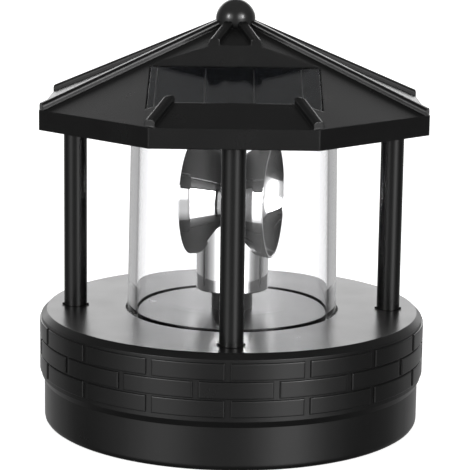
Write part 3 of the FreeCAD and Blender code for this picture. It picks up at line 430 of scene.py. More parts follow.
class Finish(Enum):
    """Every finish of the object, by the record's slot."""

    black_shell = Moulded("black_shell", grey(0.0065), 0.29)
    black_cover = Moulded("black_cover", grey(0.0100), 0.36)
    black_roof = Moulded("black_roof", grey(0.0052), 0.26, edge=0.0005)
    black_post = Moulded("black_post", grey(0.0068), 0.24)
    black_ball = Moulded("black_ball", grey(0.0190), 0.20)
    black_spindle = Moulded("black_spindle", grey(0.0068), 0.30)
    knob_black = Moulded("knob_black", grey(0.0070), 0.38)
    cell_sleeve = Moulded("cell_sleeve", (0.10, 0.22, 0.08), 0.30)
    contact_metal = Metal("contact_metal", (0.78, 0.76, 0.72), 0.22)
    board_green = Moulded("board_green", (0.012, 0.095, 0.035), 0.38)
    component_black = Moulded("component_black", grey(0.0080), 0.45)
    motor_steel = Metal("motor_steel", grey(0.62), 0.28)
    shaft_steel = Metal("shaft_steel", grey(0.70), 0.14)
    screw_steel = Metal("screw_steel", grey(0.58), 0.26)
    screw_black = Metal("screw_black", grey(0.045), 0.36)
    bush_nylon = Moulded("bush_nylon", grey(0.0080), 0.40)
    gear_nylon = Moulded("gear_nylon", (0.76, 0.75, 0.71), 0.42)
    pinion_brass = Metal("pinion_brass", (0.78, 0.57, 0.24), 0.22)
    lamp_clear = Clear("lamp_clear")
    chrome_plating = Metal("chrome_plating", grey(0.93), 0.04, 0.000001, 120.0)
    clear_tube = Clear("clear_tube", (0.965, 0.965, 0.972), index=1.30)
    cell_board = Moulded("cell_board", (0.0070, 0.0080, 0.0105), 0.20)
    panel_resin = Clear("panel_resin", (0.97, 0.98, 0.98), 0.03, index=1.25)
    cell_silver = Metal("cell_silver", grey(0.30), 0.35)


class Paints:
    """The made materials, one for each finish."""

    def __init__(self) -> None:
        """Makes every material."""
        self.made = {finish: finish.value.make() for finish in Finish}

    def dress_frame(self, frame: dict) -> None:
        """Puts the finishes on the CAD nodes' own material slots.

        Args:
            frame: What the frame loader returned.
        """
        slots = {piece["node"]: piece["material_slot"] for piece in frame["record"]["subparts"]}
        for name, node in frame["nodes"].items():
            for place in node.material_slots:
                place.link = "OBJECT"
                place.material = self.made[Finish[slots[name]]]


# ---------------------------------------------------------------- shapes


@dataclass
class Shape:
    """Points in millimetres and the faces between them.

    Attributes:
        points: Array of points, one row each.
        faces: Rows of point numbers.
    """

    points: np.ndarray
    faces: list[list[int]]

    def moved(self, across: float = 0.0, along: float = 0.0, up: float = 0.0) -> "Shape":
        """Gives the shape shifted across, along and up, which are X, Y and Z."""
        return Shape(self.points + (across, along, up), self.faces)

    def spun(self, degrees: float, axis: str = "Z") -> "Shape":
        """Gives the shape turned by that many degrees about an axis through the origin."""
        turn = np.array(Matrix.Rotation(math.radians(degrees), 3, axis))
        return Shape(self.points @ turn.T, self.faces)

    def lying(self) -> "Shape":
        """Gives the shape with its upright axis laid along X."""
        return Shape(self.points[:, [2, 0, 1]], self.faces)

    def with_(self, other: "Shape") -> "Shape":
        """Gives this shape and the other as one."""
        shift = len(self.points)
        faces = self.faces + [[number + shift for number in face] for face in other.faces]
        return Shape(np.vstack([self.points, other.points]), faces)


def softened(corners: list[Pair] | np.ndarray, radii: float | np.ndarray, steps: int = 4,
             guard: float = 0.3) -> np.ndarray:
    """Rounds the corners of a closed outline.

    At each corner the two sides meet an arc of the corner's radius. Its points swing evenly from one side's
    foot to the other's. One guard point on each side keeps the shading of the flats apart from the arc's.

    Args:
        corners: Corners in order.
        radii: Radius of each corner, or one for all. A corner of radius 0 stays a single point.
        steps: Arc steps at a corner.
        guard: Distance of the guard points from the arc.

    Returns:
        The rounded outline, one row for each point.
    """
    corner = np.asarray(corners, dtype=float)
    radius = np.broadcast_to(np.asarray(radii, dtype=float), len(corner)).copy()
    before, after = np.roll(corner, 1, axis=0) - corner, np.roll(corner, -1, axis=0) - corner
    reach_before, reach_after = np.linalg.norm(before, axis=1), np.linalg.norm(after, axis=1)
    before, after = before / reach_before[:, None], after / reach_after[:, None]
    half = np.arccos(np.clip((before * after).sum(axis=1), -1.0, 1.0)) / 2
    room = ARC_SHARE * np.minimum(reach_before, reach_after)
    radius = np.minimum(radius, room * np.tan(half))
    foot = np.where(radius > 0, radius / np.tan(half), 0.0)
    middle = before + after
    length = np.linalg.norm(middle, axis=1)
    middle = np.where(radius[:, None] > 0, middle / np.where(length > 0, length, 1.0)[:, None], 0.0)
    centre = corner + middle * (radius / np.sin(half))[:, None]
    start, stop = corner + before * foot[:, None] - centre, corner + after * foot[:, None] - centre
    sweep = (math.pi - 2 * half)[:, None]
    share = np.linspace(0, 1, steps + 1)[None, :]
    bent = (radius[:, None] > 0) & (sweep > TINY)
    scale = np.where(bent, np.sin(sweep), 1.0)
    first = np.where(bent, np.sin((1 - share) * sweep) / scale, 1 - share)
    last = np.where(bent, np.sin(share * sweep) / scale, share)
    arc = centre[:, None] + first[..., None] * start[:, None] + last[..., None] * stop[:, None]
    out = foot + np.where(radius > 0, guard, 0.0)
    rounded = (radius > 0)[:, None]
    low = corner + before * np.minimum(out, GUARD_SHARE * reach_before)[:, None] * rounded
    high = corner + after * np.minimum(out, GUARD_SHARE * reach_after)[:, None] * rounded
    line = np.concatenate([low[:, None], arc, high[:, None]], axis=1).reshape(-1, 2)
    apart = np.linalg.norm(line - np.roll(line, 1, axis=0), axis=1) > TINY
    return line[apart]


def carried(angles: np.ndarray, radius: np.ndarray, height: np.ndarray, poles: bool = False) -> Shape:
    """Carries a profile round the upright axis.

    A point is (radius cos angle, radius sin angle, height), and radius and height may differ at each angle.
    The profile runs outwards below, up the outside and inwards above. It closes on itself, or ends in poles.

    Args:
        angles: Angles in radians, rising, all the way round.
        radius: Radius at each angle and profile point.
        height: Height at each angle and profile point.
        poles: Whether the first and last profile points are single points on the axis.

    Returns:
        The closed surface.
    """
    size = (len(angles), np.broadcast(radius, height).shape[-1])
    radius, height = np.broadcast_to(radius, size), np.broadcast_to(height, size)
    ends = height[0, [0, -1]]
    if poles:
        radius, height = radius[:, 1:-1], height[:, 1:-1]
    turns, count = radius.shape
    x, y = radius * np.cos(angles)[:, None], radius * np.sin(angles)[:, None]
    points = np.stack([x, y, height], axis=-1).reshape(-1, 3)
    here = np.arange(turns)[:, None] * count
    there = np.roll(here, -1, axis=0)
    low = np.arange(count - 1 if poles else count)[None, :]
    high = (low + 1) % count
    faces = np.stack([here + low, there + low, there + high, here + high], axis=-1).reshape(-1, 4).tolist()
    if poles:
        foot, tip = len(points), len(points) + 1
        points = np.vstack([points, [[0, 0, ends[0]], [0, 0, ends[1]]]])
        here, there = here[:, 0], there[:, 0]
        faces += np.stack([np.full(turns, foot), there, here], axis=-1).tolist()
        faces += np.stack([here + count - 1, there + count - 1, np.full(turns, tip)], axis=-1).tolist()
    return Shape(points, faces)


def turned(profile: np.ndarray, turns: int = 192, poles: bool = False) -> Shape:
    """Turns a profile round the upright axis.

    Args:
        profile: Radius and height of each profile point.
        turns: Steps round the axis.
        poles: Whether its ends lie on the axis.

    Returns:
        The closed surface.
    """
    angles = np.arange(turns) * 2 * math.pi / turns
    return carried(angles, profile[None, :, 0], profile[None, :, 1], poles)


def pillowed(half: Pair, low: float, high: float, corner: float, edge: float, steps: int = 3) -> Shape:
    """Makes a flat slab with rounded corners and softened edges.

    Rings of one rounded rectangle are stacked. Along both edges the outline shrinks by edge (1 - cos t) and
    rises by edge sin t, and a further ring on each flat keeps the flats' shading plain.

    Args:
        half: Half the length along X and Y.
        low: Height of the lower face.
        high: Height of the upper face.
        corner: Corner radius seen from above.
        edge: Radius of the edges.
        steps: Steps round an edge.

    Returns:
        The closed slab.
    """
    swing = np.linspace(0, math.pi / 2, steps + 1)
    slow, fast = edge * (1 - np.cos(swing)), edge * (1 - np.sin(swing))
    inset = np.concatenate([[2 * edge], fast, slow, [2 * edge]])
    height = np.concatenate([[low], low + slow, high - fast, [high]])
    fan = np.linspace(0, math.pi / 2, SLAB_POINTS)
    turn = (np.arange(4)[:, None] * math.pi / 2 + fan[None, :]).reshape(-1)
    sign = np.repeat(np.array([[1, 1], [-1, 1], [-1, -1], [1, -1]]), SLAB_POINTS, axis=0)
    heart = sign * (np.array(half) - corner)
    reach = np.maximum(corner - inset, SLAB_LEAST)[:, None, None]
    pull = np.maximum(inset - corner + SLAB_LEAST, 0.0)[:, None, None]
    ring = (heart[None] - sign[None] * pull) + reach * np.stack([np.cos(turn), np.sin(turn)], axis=-1)[None]
    count = len(turn)
    points = np.concatenate([ring, np.broadcast_to(height[:, None, None], (*ring.shape[:2], 1))], axis=-1)
    level = np.arange(len(height) - 1)[:, None] * count
    here = np.arange(count)[None, :]
    there = (here + 1) % count
    sides = np.stack([level + here, level + there, level + count + there, level + count + here], axis=-1)
    top = (len(height) - 1) * count + np.arange(count)
    faces = sides.reshape(-1, 4).tolist() + [np.arange(count)[::-1].tolist(), top.tolist()]
    return Shape(points.reshape(-1, 3), faces)


def placed(name: str, shape: Shape, paints: Paints, finish: Finish, body: str,
           nodes: tuple[str, ...] = ()) -> bpy.types.Object:
    """Puts a shape into the scene as a piece of the object.

    Args:
        name: Piece name.
        shape: Its points and faces.
        paints: The materials.
        finish: Its finish, named after the record's slot.
        body: The CAD body that it rides on.
        nodes: The CAD nodes that it stands for.

    Returns:
        The piece.
    """
    mesh = bpy.data.meshes.new(name)
    mesh.from_pydata((shape.points * MM).tolist(), [], shape.faces)
    mesh.materials.append(paints.made[finish])
    mesh.shade_smooth()
    mesh.set_sharp_from_angle(angle=SHARP)
    mesh.validate()
    piece = bpy.data.objects.new(name, mesh)
    bpy.context.scene.collection.objects.link(piece)
    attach(piece, body)
    if nodes:
        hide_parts(*nodes)
    LOG.info("%s: %d points, rides on %s", name, len(mesh.vertices), body)
    return piece


def cut_away(piece: bpy.types.Object, cutter: Shape) -> None:
    """Cuts one shape out of a piece, and keeps the result in its mesh.

    Args:
        piece: The piece.
        cutter: The shape to take away.
    """
    mesh = bpy.data.meshes.new("cutter")
    mesh.from_pydata((cutter.points * MM).tolist(), [], cutter.faces)
    tool = bpy.data.objects.new("cutter", mesh)
    bpy.context.scene.collection.objects.link(tool)
    step = piece.modifiers.new("cut", "BOOLEAN")
    step.operation, step.solver, step.object = "DIFFERENCE", "EXACT", tool
    ready = piece.evaluated_get(bpy.context.evaluated_depsgraph_get())
    result = bpy.data.meshes.new_from_object(ready)
    piece.modifiers.remove(step)
    piece.data = result
    bpy.data.objects.remove(tool)
    bpy.data.meshes.remove(mesh)
    result.shade_smooth()
    result.set_sharp_from_angle(angle=CUT_SHARP)


# ---------------------------------------------------------------- sub-assemblies


@dataclass
class Base:
    """Round base: deck, shoulder, three courses of brick and a plain skirt.

    Attributes:
        deck: Height of the deck.
        deck_radius: Radius of the deck's edge.
        shoulder: Slope between the deck and the band, across and down.
        band: Radius of the band behind the bricks.
        skirt: Radius of the skirt.
        well: Radius of the opening below.
        band_foot: Height at which the band ends.
        skirt_top: Height at which the skirt starts.
        foot_round: Radius of the foot's outer edge.
        brick_top: Height at which the courses start.
        pitch: Height of a course.
        seam: Gap between courses.
        joint: Gap between the bricks of a course.
        count: Bricks in a course.
        proud: Height of a brick's face over the band.
        edge: Radius of a brick's edges.
        starts: Azimuth of a brick's middle in each course, in degrees.
        slot: Inner and outer radius of the tube's slot.
        slot_deep: Depth of the tube's slot.
        bush: Radius of the hole for the spindle's bush.
        wall: Thickness of the band's wall.
        deck_wall: Thickness of the deck.
        well_edge: Radius of the well's edge.
        step_edges: Radii at the skirt's top and the band's foot.
        deck_edges: Radii at the shoulder's foot and the deck's edge.
        slot_edges: Radii at the slot's edges and floor, from outside inwards.
        bush_edges: Radii at the bush's hole, above and below.
        room_edges: Radii at the hollow's corners, from above downwards.
        turns: Even steps round the axis, besides those at the bricks.
        lines: Distances of the grid lines from a brick's border, inwards.
    """

    deck: float = 35.0
    deck_radius: float = 57.5
    shoulder: float = 1.7
    band: float = 59.2
    skirt: float = 58.3
    well: float = 54.3
    band_foot: float = 15.09
    skirt_top: float = 13.19
    foot_round: float = 2.4
    brick_top: float = 32.6
    pitch: float = 5.47
    seam: float = 0.5
    joint: float = 1.8
    count: int = 16
    proud: float = 0.5
    edge: float = 0.25
    starts: tuple[float, float, float] = (10.45, 1.55, 10.45)
    slot: Pair = (29.3, 33.1)
    slot_deep: float = 1.6
    bush: float = 6.15
    wall: float = 2.4
    deck_wall: float = 3.0
    well_edge: float = 0.3
    step_edges: Pair = (0.25, 0.25)
    deck_edges: Pair = (0.18, 0.18)
    slot_edges: tuple[float, ...] = (0.12, 0.1, 0.1, 0.12)
    bush_edges: Pair = (0.15, 0.1)
    room_edges: tuple[float, ...] = (0.5, 0.3, 0.3)
    turns: int = 144
    lines: tuple[float, ...] = (-0.2, -0.02, 0.002, 0.04, 0.12, 0.25, 0.5)

    def _relief(self, inside: np.ndarray) -> np.ndarray:
        """Gives a brick's height over the band.

        It is 0 outside the brick, steps up at its border, and follows a quarter circle up to the face.

        Args:
            inside: Distance from the brick's border inwards, in millimetres.

        Returns:
            The height.
        """
        run = np.clip(self.edge - inside, 0.0, self.edge)
        arc = self.proud - self.edge + np.sqrt(self.edge**2 - run**2)
        return np.where(inside > 0, arc, 0.0)

    def _lines(self, borders: np.ndarray, way: np.ndarray) -> np.ndarray:
        """Gives the grid lines that a brick's border needs.

        Args:
            borders: Places of the borders.
            way: 1 where the brick lies above the border, and -1 where it lies below.

        Returns:
            The places of the lines.
        """
        return (borders[:, None] + way[:, None] * np.array(self.lines)[None, :]).reshape(-1)

    def shape(self) -> Shape:
        """Works out the whole base as one closed surface.

        The radius at an azimuth and height is the band's plus the relief of the brick there, whose distance
        inwards is the lesser of the distances to its ends and to its top and foot.

        Returns:
            The base.
        """
        course = np.arange(3)
        top = self.brick_top - course * self.pitch - self.seam / 2
        low = top - self.pitch + self.seam
        rows = self._lines(np.concatenate([top, low]), np.repeat([-1.0, 1.0], 3))
        rows = np.unique(np.round(rows, 4))
        band = np.stack([np.full(len(rows), self.band), rows], axis=-1)
        slot_floor = self.deck - self.slot_deep
        inner, under = self.band - self.wall, self.deck - self.deck_wall
        corners = np.vstack([
            [(self.well, 0.0), (self.skirt, 0.0), (self.skirt, self.skirt_top), (self.band, self.band_foot)],
            band,
            [(self.band, self.deck - self.shoulder), (self.deck_radius, self.deck),
             (self.slot[1], self.deck), (self.slot[1], slot_floor), (self.slot[0], slot_floor),
             (self.slot[0], self.deck), (self.bush, self.deck), (self.bush, under), (inner, under),
             (inner, self.band_foot), (self.well, self.skirt_top)]])
        radii = np.concatenate([[self.well_edge, self.foot_round], self.step_edges, np.zeros(len(band)),
                                self.deck_edges, self.slot_edges, self.bush_edges, self.room_edges])
        profile = softened(corners, radii)
        half = math.pi / self.count - self.joint / self.band / 2
        steps = 360 / self.count * np.arange(self.count)
        middles = np.radians(np.array(self.starts)[:, None] + steps[None, :])
        borders = np.concatenate([middles[:2] - half, middles[:2] + half]).reshape(-1) * self.band
        ends = self._lines(borders, np.repeat([1.0, -1.0], borders.size // 2)) / self.band
        fill = np.arange(self.turns) * 2 * math.pi / self.turns
        angles = np.unique(np.round(np.concatenate([ends, fill]) % (2 * math.pi), 6))
        nearest = (angles[None, :, None] - middles[:, None, :] + math.pi) % (2 * math.pi) - math.pi
        along = (half - np.abs(nearest).min(axis=2)) * self.band
        height = profile[:, 1]
        across = np.minimum(top[:, None] - height[None, :], height[None, :] - low[:, None])
        inside = np.minimum(along[:, :, None], across[:, None, :])
        relief = self._relief(inside).max(axis=0)
        on_band = np.abs(profile[:, 0] - self.band) < SAME
        return carried(angles, profile[None, :, 0] + relief * on_band[None, :], height[None, :])

    def build(self, paints: Paints) -> None:
        """Places the base.

        Args:
            paints: The materials.
        """
        placed("brick_base", self.shape(), paints, Finish.black_shell, "housing", ("base_housing",))


@dataclass
class Lantern:
    """Clear tube, the four posts round it, and the chrome reflector on its spindle.

    Attributes:
        deck: Height of the deck.
        plate: Height of the roof plate.
        tube: Outer radius of the tube at its foot and its top.
        tube_span: Heights of its foot and its top.
        wall: Thickness of its wall.
        circle: Radius on which the posts stand.
        post: Radius of a post.
        spigot: Radius and length of the spigots at its ends.
        bore: Radius and depth of the screw holes in its ends.
        lug: Size of the lugs at its foot.
        axis: Height of the dishes' axis.
        turn: Azimuth of the dishes' axis in degrees.
        half: Half the distance between the rims.
        rim: Outer radius of a rim.
        band: Place and radius at which the rim's band ends.
        waist: Radius at the waist, half its length and its arc.
        lip: Thickness of the rim.
        eye: Radius of the eye and half its length.
        dish: Radius of a dish's arc.
        stem: Radius of the stem.
        stem_foot: Height of the stem's foot.
        hole: Radius of the hole for the lamp's post.
        tube_edge: Radius of the tube's rims and distance of their guard points.
        post_edge: The same for the posts.
        lead_room: How much wider the bore for the leads is.
        rim_edge: Radius of a rim's edges.
        band_edge: Radius where the rim's band ends.
        eye_edge: Radius of the eye's edges.
        dish_guard: Distance of the guard points from the dishes' rounded edges.
        dish_steps: Steps round one of these edges.
        dish_grid: Points along the waist and along a dish.
        stem_wall: Thickness of the stem's wall.
        stem_floor: Thickness of the stem's floor.
        stem_line: Height of the stem's upper profile line over its foot, before it is fitted to the dishes.
        recess: Radius and height of the recess below the stem's floor.
        stem_edges: Smaller and larger radius of the stem's edges.
        stem_guard: Distance of their guard points.
        sink: How far the stem's top lies inside the dishes' outside.
        spindle_foot: Height of the spindle's foot.
        journal: Inner and outer radius of the spindle below the deck.
        groove: Radius, foot and top of the clip's groove.
        hub: Radius of the hub, and its gap over the deck.
        collar: Radius and height of the collar in the stem's recess.
        spindle_edges: Radii of the spindle's groove, of its ends and of its hub.
        spindle_guard: Distance of their guard points.
        tube_turns: Steps round the tube.
        post_turns: Steps round a post and round the stem's bore.
        dish_turns: Steps round the dishes.
        stem_turns: Steps round the stem.
        hub_turns: Steps round the spindle.
    """

    deck: float = 35.0
    plate: float = 94.2
    tube: Pair = (32.6, 31.6)
    tube_span: Pair = (33.4, 95.0)
    wall: float = 2.8
    circle: float = 48.8
    post: float = 3.55
    spigot: Pair = (2.5, 1.4)
    bore: Pair = (1.5, 12.0)
    lug: float = 0.6
    axis: float = 69.5
    turn: float = -12.5
    half: float = 12.8
    rim: float = 17.9
    band: Pair = (9.6, 17.6)
    waist: tuple[float, float, float] = (13.0, 3.0, 8.0)
    lip: float = 0.6
    eye: Pair = (5.0, 2.0)
    dish: float = 14.0
    stem: float = 11.2
    stem_foot: float = 41.4
    hole: float = 3.4
    tube_edge: Pair = (0.45, 0.4)
    post_edge: Pair = (0.12, 0.2)
    lead_room: float = 0.1
    rim_edge: float = 0.2
    band_edge: float = 1.5
    eye_edge: float = 0.3
    dish_guard: float = 0.25
    dish_steps: int = 5
    dish_grid: tuple[int, int] = (15, 24)
    stem_wall: float = 1.4
    stem_floor: float = 2.0
    stem_line: float = 6.0
    recess: Pair = (5.4, 1.6)
    stem_edges: Pair = (0.1, 0.3)
    stem_guard: float = 0.2
    sink: float = 0.7
    spindle_foot: float = 24.4
    journal: Pair = (3.2, 4.6)
    groove: tuple[float, float, float] = (4.0, 25.4, 26.3)
    hub: Pair = (6.35, 0.25)
    collar: Pair = (5.35, 1.6)
    spindle_edges: tuple[float, float, float] = (0.05, 0.1, 0.2)
    spindle_guard: float = 0.15
    tube_turns: int = 256
    post_turns: int = 96
    dish_turns: int = 224
    stem_turns: int = 192
    hub_turns: int = 128

    def _tube(self) -> Shape:
        """Works out the tube: a slim ring profile, rounded at its rims, turned round the axis."""
        foot, top = self.tube
        low, high = self.tube_span
        edge, guard = self.tube_edge
        corners = [(foot - self.wall, low), (foot, low), (top, high), (top - self.wall, high)]
        return turned(softened(corners, edge, guard=guard), self.tube_turns)

    def _post(self, azimuth: float, through: bool) -> Shape:
        """Works out one post with its spigots and lugs.

        Args:
            azimuth: Where it stands, in degrees from +X.
            through: Whether its bore runs through for the leads.

        Returns:
            The post.
        """
        spigot, long = self.spigot
        bore, deep = self.bore
        bore += self.lead_room if through else 0.0
        edge, guard = self.post_edge
        low, high = self.deck - long, self.plate + long
        outside = [(bore, low), (spigot, low), (spigot, self.deck), (self.post, self.deck),
                   (self.post, self.plate), (spigot, self.plate), (spigot, high), (bore, high)]
        if through:
            shaft = turned(softened(outside, edge, guard=guard), self.post_turns)
        else:
            beyond, foot, tip = -1.0, low + deep, high - deep
            corners = [(beyond, foot), (bore, foot), *outside, (bore, tip), (beyond, tip)]
            line = softened(corners, edge, guard=guard)
            line = line[line[:, 0] > 0.0]
            shaft = turned(np.vstack([[0.0, foot], line, [0.0, tip]]), self.post_turns, poles=True)
        lug = pillowed((self.lug, self.lug / 2), self.deck, self.deck + self.lug, edge, edge)
        shaft = shaft.with_(lug.moved(across=self.post)).with_(lug.moved(across=-self.post))
        a = math.radians(azimuth)
        return shaft.moved(self.circle * math.cos(a), self.circle * math.sin(a))

    def _bowl(self, x: np.ndarray) -> np.ndarray:
        """Gives a dish's radius at a distance from the middle: an arc that bows away from the axis.

        Args:
            x: Distances from the middle, from the eye to the rim.

        Returns:
            The radius of the hollow there.
        """
        start, stop = np.array([self.eye[1], self.eye[0]]), np.array([self.half, self.rim - self.lip])
        chord = stop - start
        length = np.hypot(*chord)
        inwards = np.array([chord[1], -chord[0]]) / length
        centre = (start + stop) / 2 + inwards * math.sqrt(self.dish**2 - length**2 / 4)
        return centre[1] + np.sqrt(self.dish**2 - (x - centre[0]) ** 2)

    def _outer(self, x: np.ndarray) -> np.ndarray:
        """Gives the double dish's outer radius: an arc at the waist, and a cone and a rim's band each side.

        Args:
            x: Distances from the middle.

        Returns:
            The radius there.
        """
        narrow, reach, arc = self.waist
        neck = narrow + arc - math.sqrt(arc**2 - reach**2)
        bend = narrow + arc - np.sqrt(arc**2 - np.minimum(np.abs(x), reach) ** 2)
        cone = np.interp(np.abs(x), [reach, self.band[0], self.half], [neck, self.band[1], self.rim])
        return np.where(np.abs(x) <= reach, bend, cone)

    def _dishes(self) -> Shape:
        """Works out the two dishes back to back, open through the eye, along X."""
        reach, band = self.waist[1], self.band[0]
        waist = np.linspace(-reach, reach, self.dish_grid[0])
        bowl = np.linspace(self.half, self.eye[1], self.dish_grid[1] + 2)[1:-1]
        outer = [(self.rim, -self.half), (self.band[1], -band), *zip(self._outer(waist), waist),
                 (self.band[1], band), (self.rim, self.half)]
        inner = [(self.rim - self.lip, self.half), *zip(self._bowl(bowl), bowl), (self.eye[0], self.eye[1]),
                 (self.eye[0], -self.eye[1]), *zip(self._bowl(bowl)[::-1], -bowl[::-1]),
                 (self.rim - self.lip, -self.half)]
        rim, belt, eye = self.rim_edge, self.band_edge, self.eye_edge
        neck, hollow = np.zeros(len(waist)), np.zeros(len(bowl))
        radii = np.concatenate([[rim, belt], neck, [belt, rim, rim], hollow, [eye, eye], hollow, [rim]])
        line = softened(outer + inner, radii, steps=self.dish_steps, guard=self.dish_guard)
        return turned(line, self.dish_turns).lying()

    def _stem(self) -> Shape:
        """Works out the hollow stem, whose top edge follows the dishes' underside at every azimuth.

        Its top lies inside the dishes' wall: axis less the root of (mid-wall radius squared less y squared).

        Returns:
            The stem.
        """
        foot, floor, line = self.stem_foot, self.stem_foot + self.stem_floor, self.stem_foot + self.stem_line
        inside, ring, roof = self.stem - self.stem_wall, self.recess[0], foot + self.recess[1]
        slight, soft = self.stem_edges
        corners = [(self.hole, roof), (ring, roof), (ring, foot), (self.stem, foot), (self.stem, line),
                   (inside, line), (inside, floor), (self.hole, floor)]
        radii = [slight, slight, slight, soft, 0.0, 0.0, soft, slight]
        lower = softened(corners, radii, guard=self.stem_guard)
        angles = np.arange(self.stem_turns) * 2 * math.pi / self.stem_turns
        radius = np.broadcast_to(lower[None, :, 0], (len(angles), len(lower)))
        x, y = radius * np.cos(angles)[:, None], radius * np.sin(angles)[:, None]
        top = self.axis - np.sqrt((self._outer(x) - self.sink) ** 2 - y**2)
        height = np.where(np.abs(lower[None, :, 1] - line) < SAME, top, lower[None, :, 1])
        return carried(angles, radius, height)

    def _spindle(self) -> Shape:
        """Works out the spindle: hub above the deck, journal with the clip's groove below it."""
        bore, shaft = self.journal
        neck, start, stop = self.groove
        (hub, gap), (collar, tall) = self.hub, self.collar
        low, over, seat, top = self.spindle_foot, self.deck + gap, self.stem_foot, self.stem_foot + tall
        fine, slight, soft = self.spindle_edges
        corners = [(bore, low), (shaft, low), (shaft, start), (neck, start), (neck, stop), (shaft, stop),
                   (shaft, over), (hub, over), (hub, seat), (collar, seat), (collar, top), (bore, top)]
        radii = [slight, slight, fine, fine, fine, fine, slight, soft, soft, slight, slight, slight]
        return turned(softened(corners, radii, guard=self.spindle_guard), self.hub_turns)

    def build(self, paints: Paints) -> None:
        """Places the tube, the posts and the reflector.

        Args:
            paints: The materials.
        """
        placed("clear_lantern", self._tube(), paints, Finish.clear_tube, "housing", ("lantern_tube",))
        for name, azimuth in (("front", 270), ("right", 0), ("rear", 90), ("left", 180)):
            post = self._post(azimuth, name == "rear")
            placed(f"round_post_{name}", post, paints, Finish.black_post, "housing", (f"post_{name}",))
        dishes = placed("double_dish", self._dishes().spun(self.turn).moved(up=self.axis), paints,
                        Finish.chrome_plating, "rotor", ("reflector",))
        low, high = self.stem_foot, self.axis
        bore = np.array([(0.0, low), (self.hole, low), (self.hole, high), (0.0, high)])
        cut_away(dishes, turned(bore, self.post_turns, poles=True))
        placed("dish_stem", self._stem().spun(self.turn), paints, Finish.chrome_plating, "rotor")
        placed("turning_hub", self._spindle(), paints, Finish.black_spindle, "rotor", ("spindle",))


@dataclass
class Finial:
    """Ball on the crown, with its peg.

    Attributes:
        radius: Radius of the ball.
        centre: Height of its centre.
        seat: Distance of its flat foot below the centre.
        peg: Radius and length of the peg.
        bevel: Bevel at the peg's end.
        steps: Steps from the ball's foot to its top.
        turns: Steps round it.
    """

    radius: float = 6.0
    centre: float = 124.894
    seat: float = 5.5
    peg: Pair = (1.8, 4.0)
    bevel: float = 0.1
    steps: int = 40
    turns: int = 96

    def build(self, paints: Paints) -> None:
        """Places the ball.

        Args:
            paints: The materials.
        """
        foot, thick, tip = self.centre - self.seat, self.peg[0], self.centre - self.seat - self.peg[1]
        swing = np.linspace(-math.asin(self.seat / self.radius), math.pi / 2, self.steps)
        out, up = self.radius * np.cos(swing), self.radius * np.sin(swing)
        arc = np.stack([out, self.centre + up], axis=-1)[:-1]
        peg = [(0.0, tip), (thick - self.bevel, tip), (thick, tip + self.bevel), (thick, foot)]
        profile = np.vstack([peg, arc, [0.0, self.centre + self.radius]])
        placed("round_finial", turned(profile, self.turns, poles=True), paints, Finish.black_ball, "housing",
               ("finial_ball",))


@dataclass
class SolarWindow:
    """Solar panel tilted in the roof's window: a cell board with its silver lines under a layer of resin.

    Attributes:
        half: Half the panel's width.
        deep: Length of the panel down the slope.
        tilt: Slope in degrees.
        near: Distance of its upper edge from the axis.
        height: Height of its upper edge.
        board: Thickness of the board.
        resin: Thickness of the resin.
        bars: Places of the silver lines across the panel.
        bar: Half width of a silver line.
        margin: Distance of a line's ends from the panel's edge.
        line_span: How far a line sinks into the board and stands proud of it.
        line_edges: Corner radius and edge radius of a line.
        gap: Gap between the board and the resin.
        corner: Corner radius of board and resin.
        board_edge: Edge radius of the board.
        resin_edge: Edge radius of the resin.
    """

    half: float = 25.0
    deep: float = 30.005
    tilt: float = 17.73
    near: float = 16.32
    height: float = 111.933
    board: float = 1.3
    resin: float = 0.9
    bars: tuple[float, ...] = (-23.0, -8.7, 5.6, 19.6)
    bar: float = 0.16
    margin: float = 1.0
    line_span: Pair = (0.02, 0.03)
    line_edges: Pair = (0.05, 0.01)
    gap: float = 0.005
    corner: float = 0.4
    board_edge: float = 0.1
    resin_edge: float = 0.3

    def _set(self, shape: Shape) -> Shape:
        """Tilts a flat shape into the window.

        Args:
            shape: The shape, with the panel's face at height 0 and its upper edge at Y 0.

        Returns:
            The tilted shape.
        """
        return shape.spun(self.tilt, "X").moved(along=-self.near, up=self.height)

    def build(self, paints: Paints) -> None:
        """Places the board, its lines and the resin.

        Args:
            paints: The materials.
        """
        middle = -self.deep / 2
        half = (self.half, self.deep / 2)
        top = -self.resin
        board = pillowed(half, top - self.board, top, self.corner, self.board_edge).moved(along=middle)
        placed("cell_board", self._set(board), paints, Finish.cell_board, "housing", ("solar_panel",))
        sunk, proud = self.line_span
        size = (self.bar, self.deep / 2 - self.margin)
        line = pillowed(size, top - sunk, top + proud, *self.line_edges, steps=1)
        lines = line.moved(across=self.bars[0], along=middle)
        for place in self.bars[1:]:
            lines = lines.with_(line.moved(across=place, along=middle))
        placed("cell_lines", self._set(lines), paints, Finish.cell_silver, "housing")
        cover = pillowed(half, top + self.gap, 0.0, self.corner, self.resin_edge).moved(along=middle)
        placed("resin_cover", self._set(cover), paints, Finish.panel_resin, "housing", ("panel_resin",))


# ---------------------------------------------------------------- studio


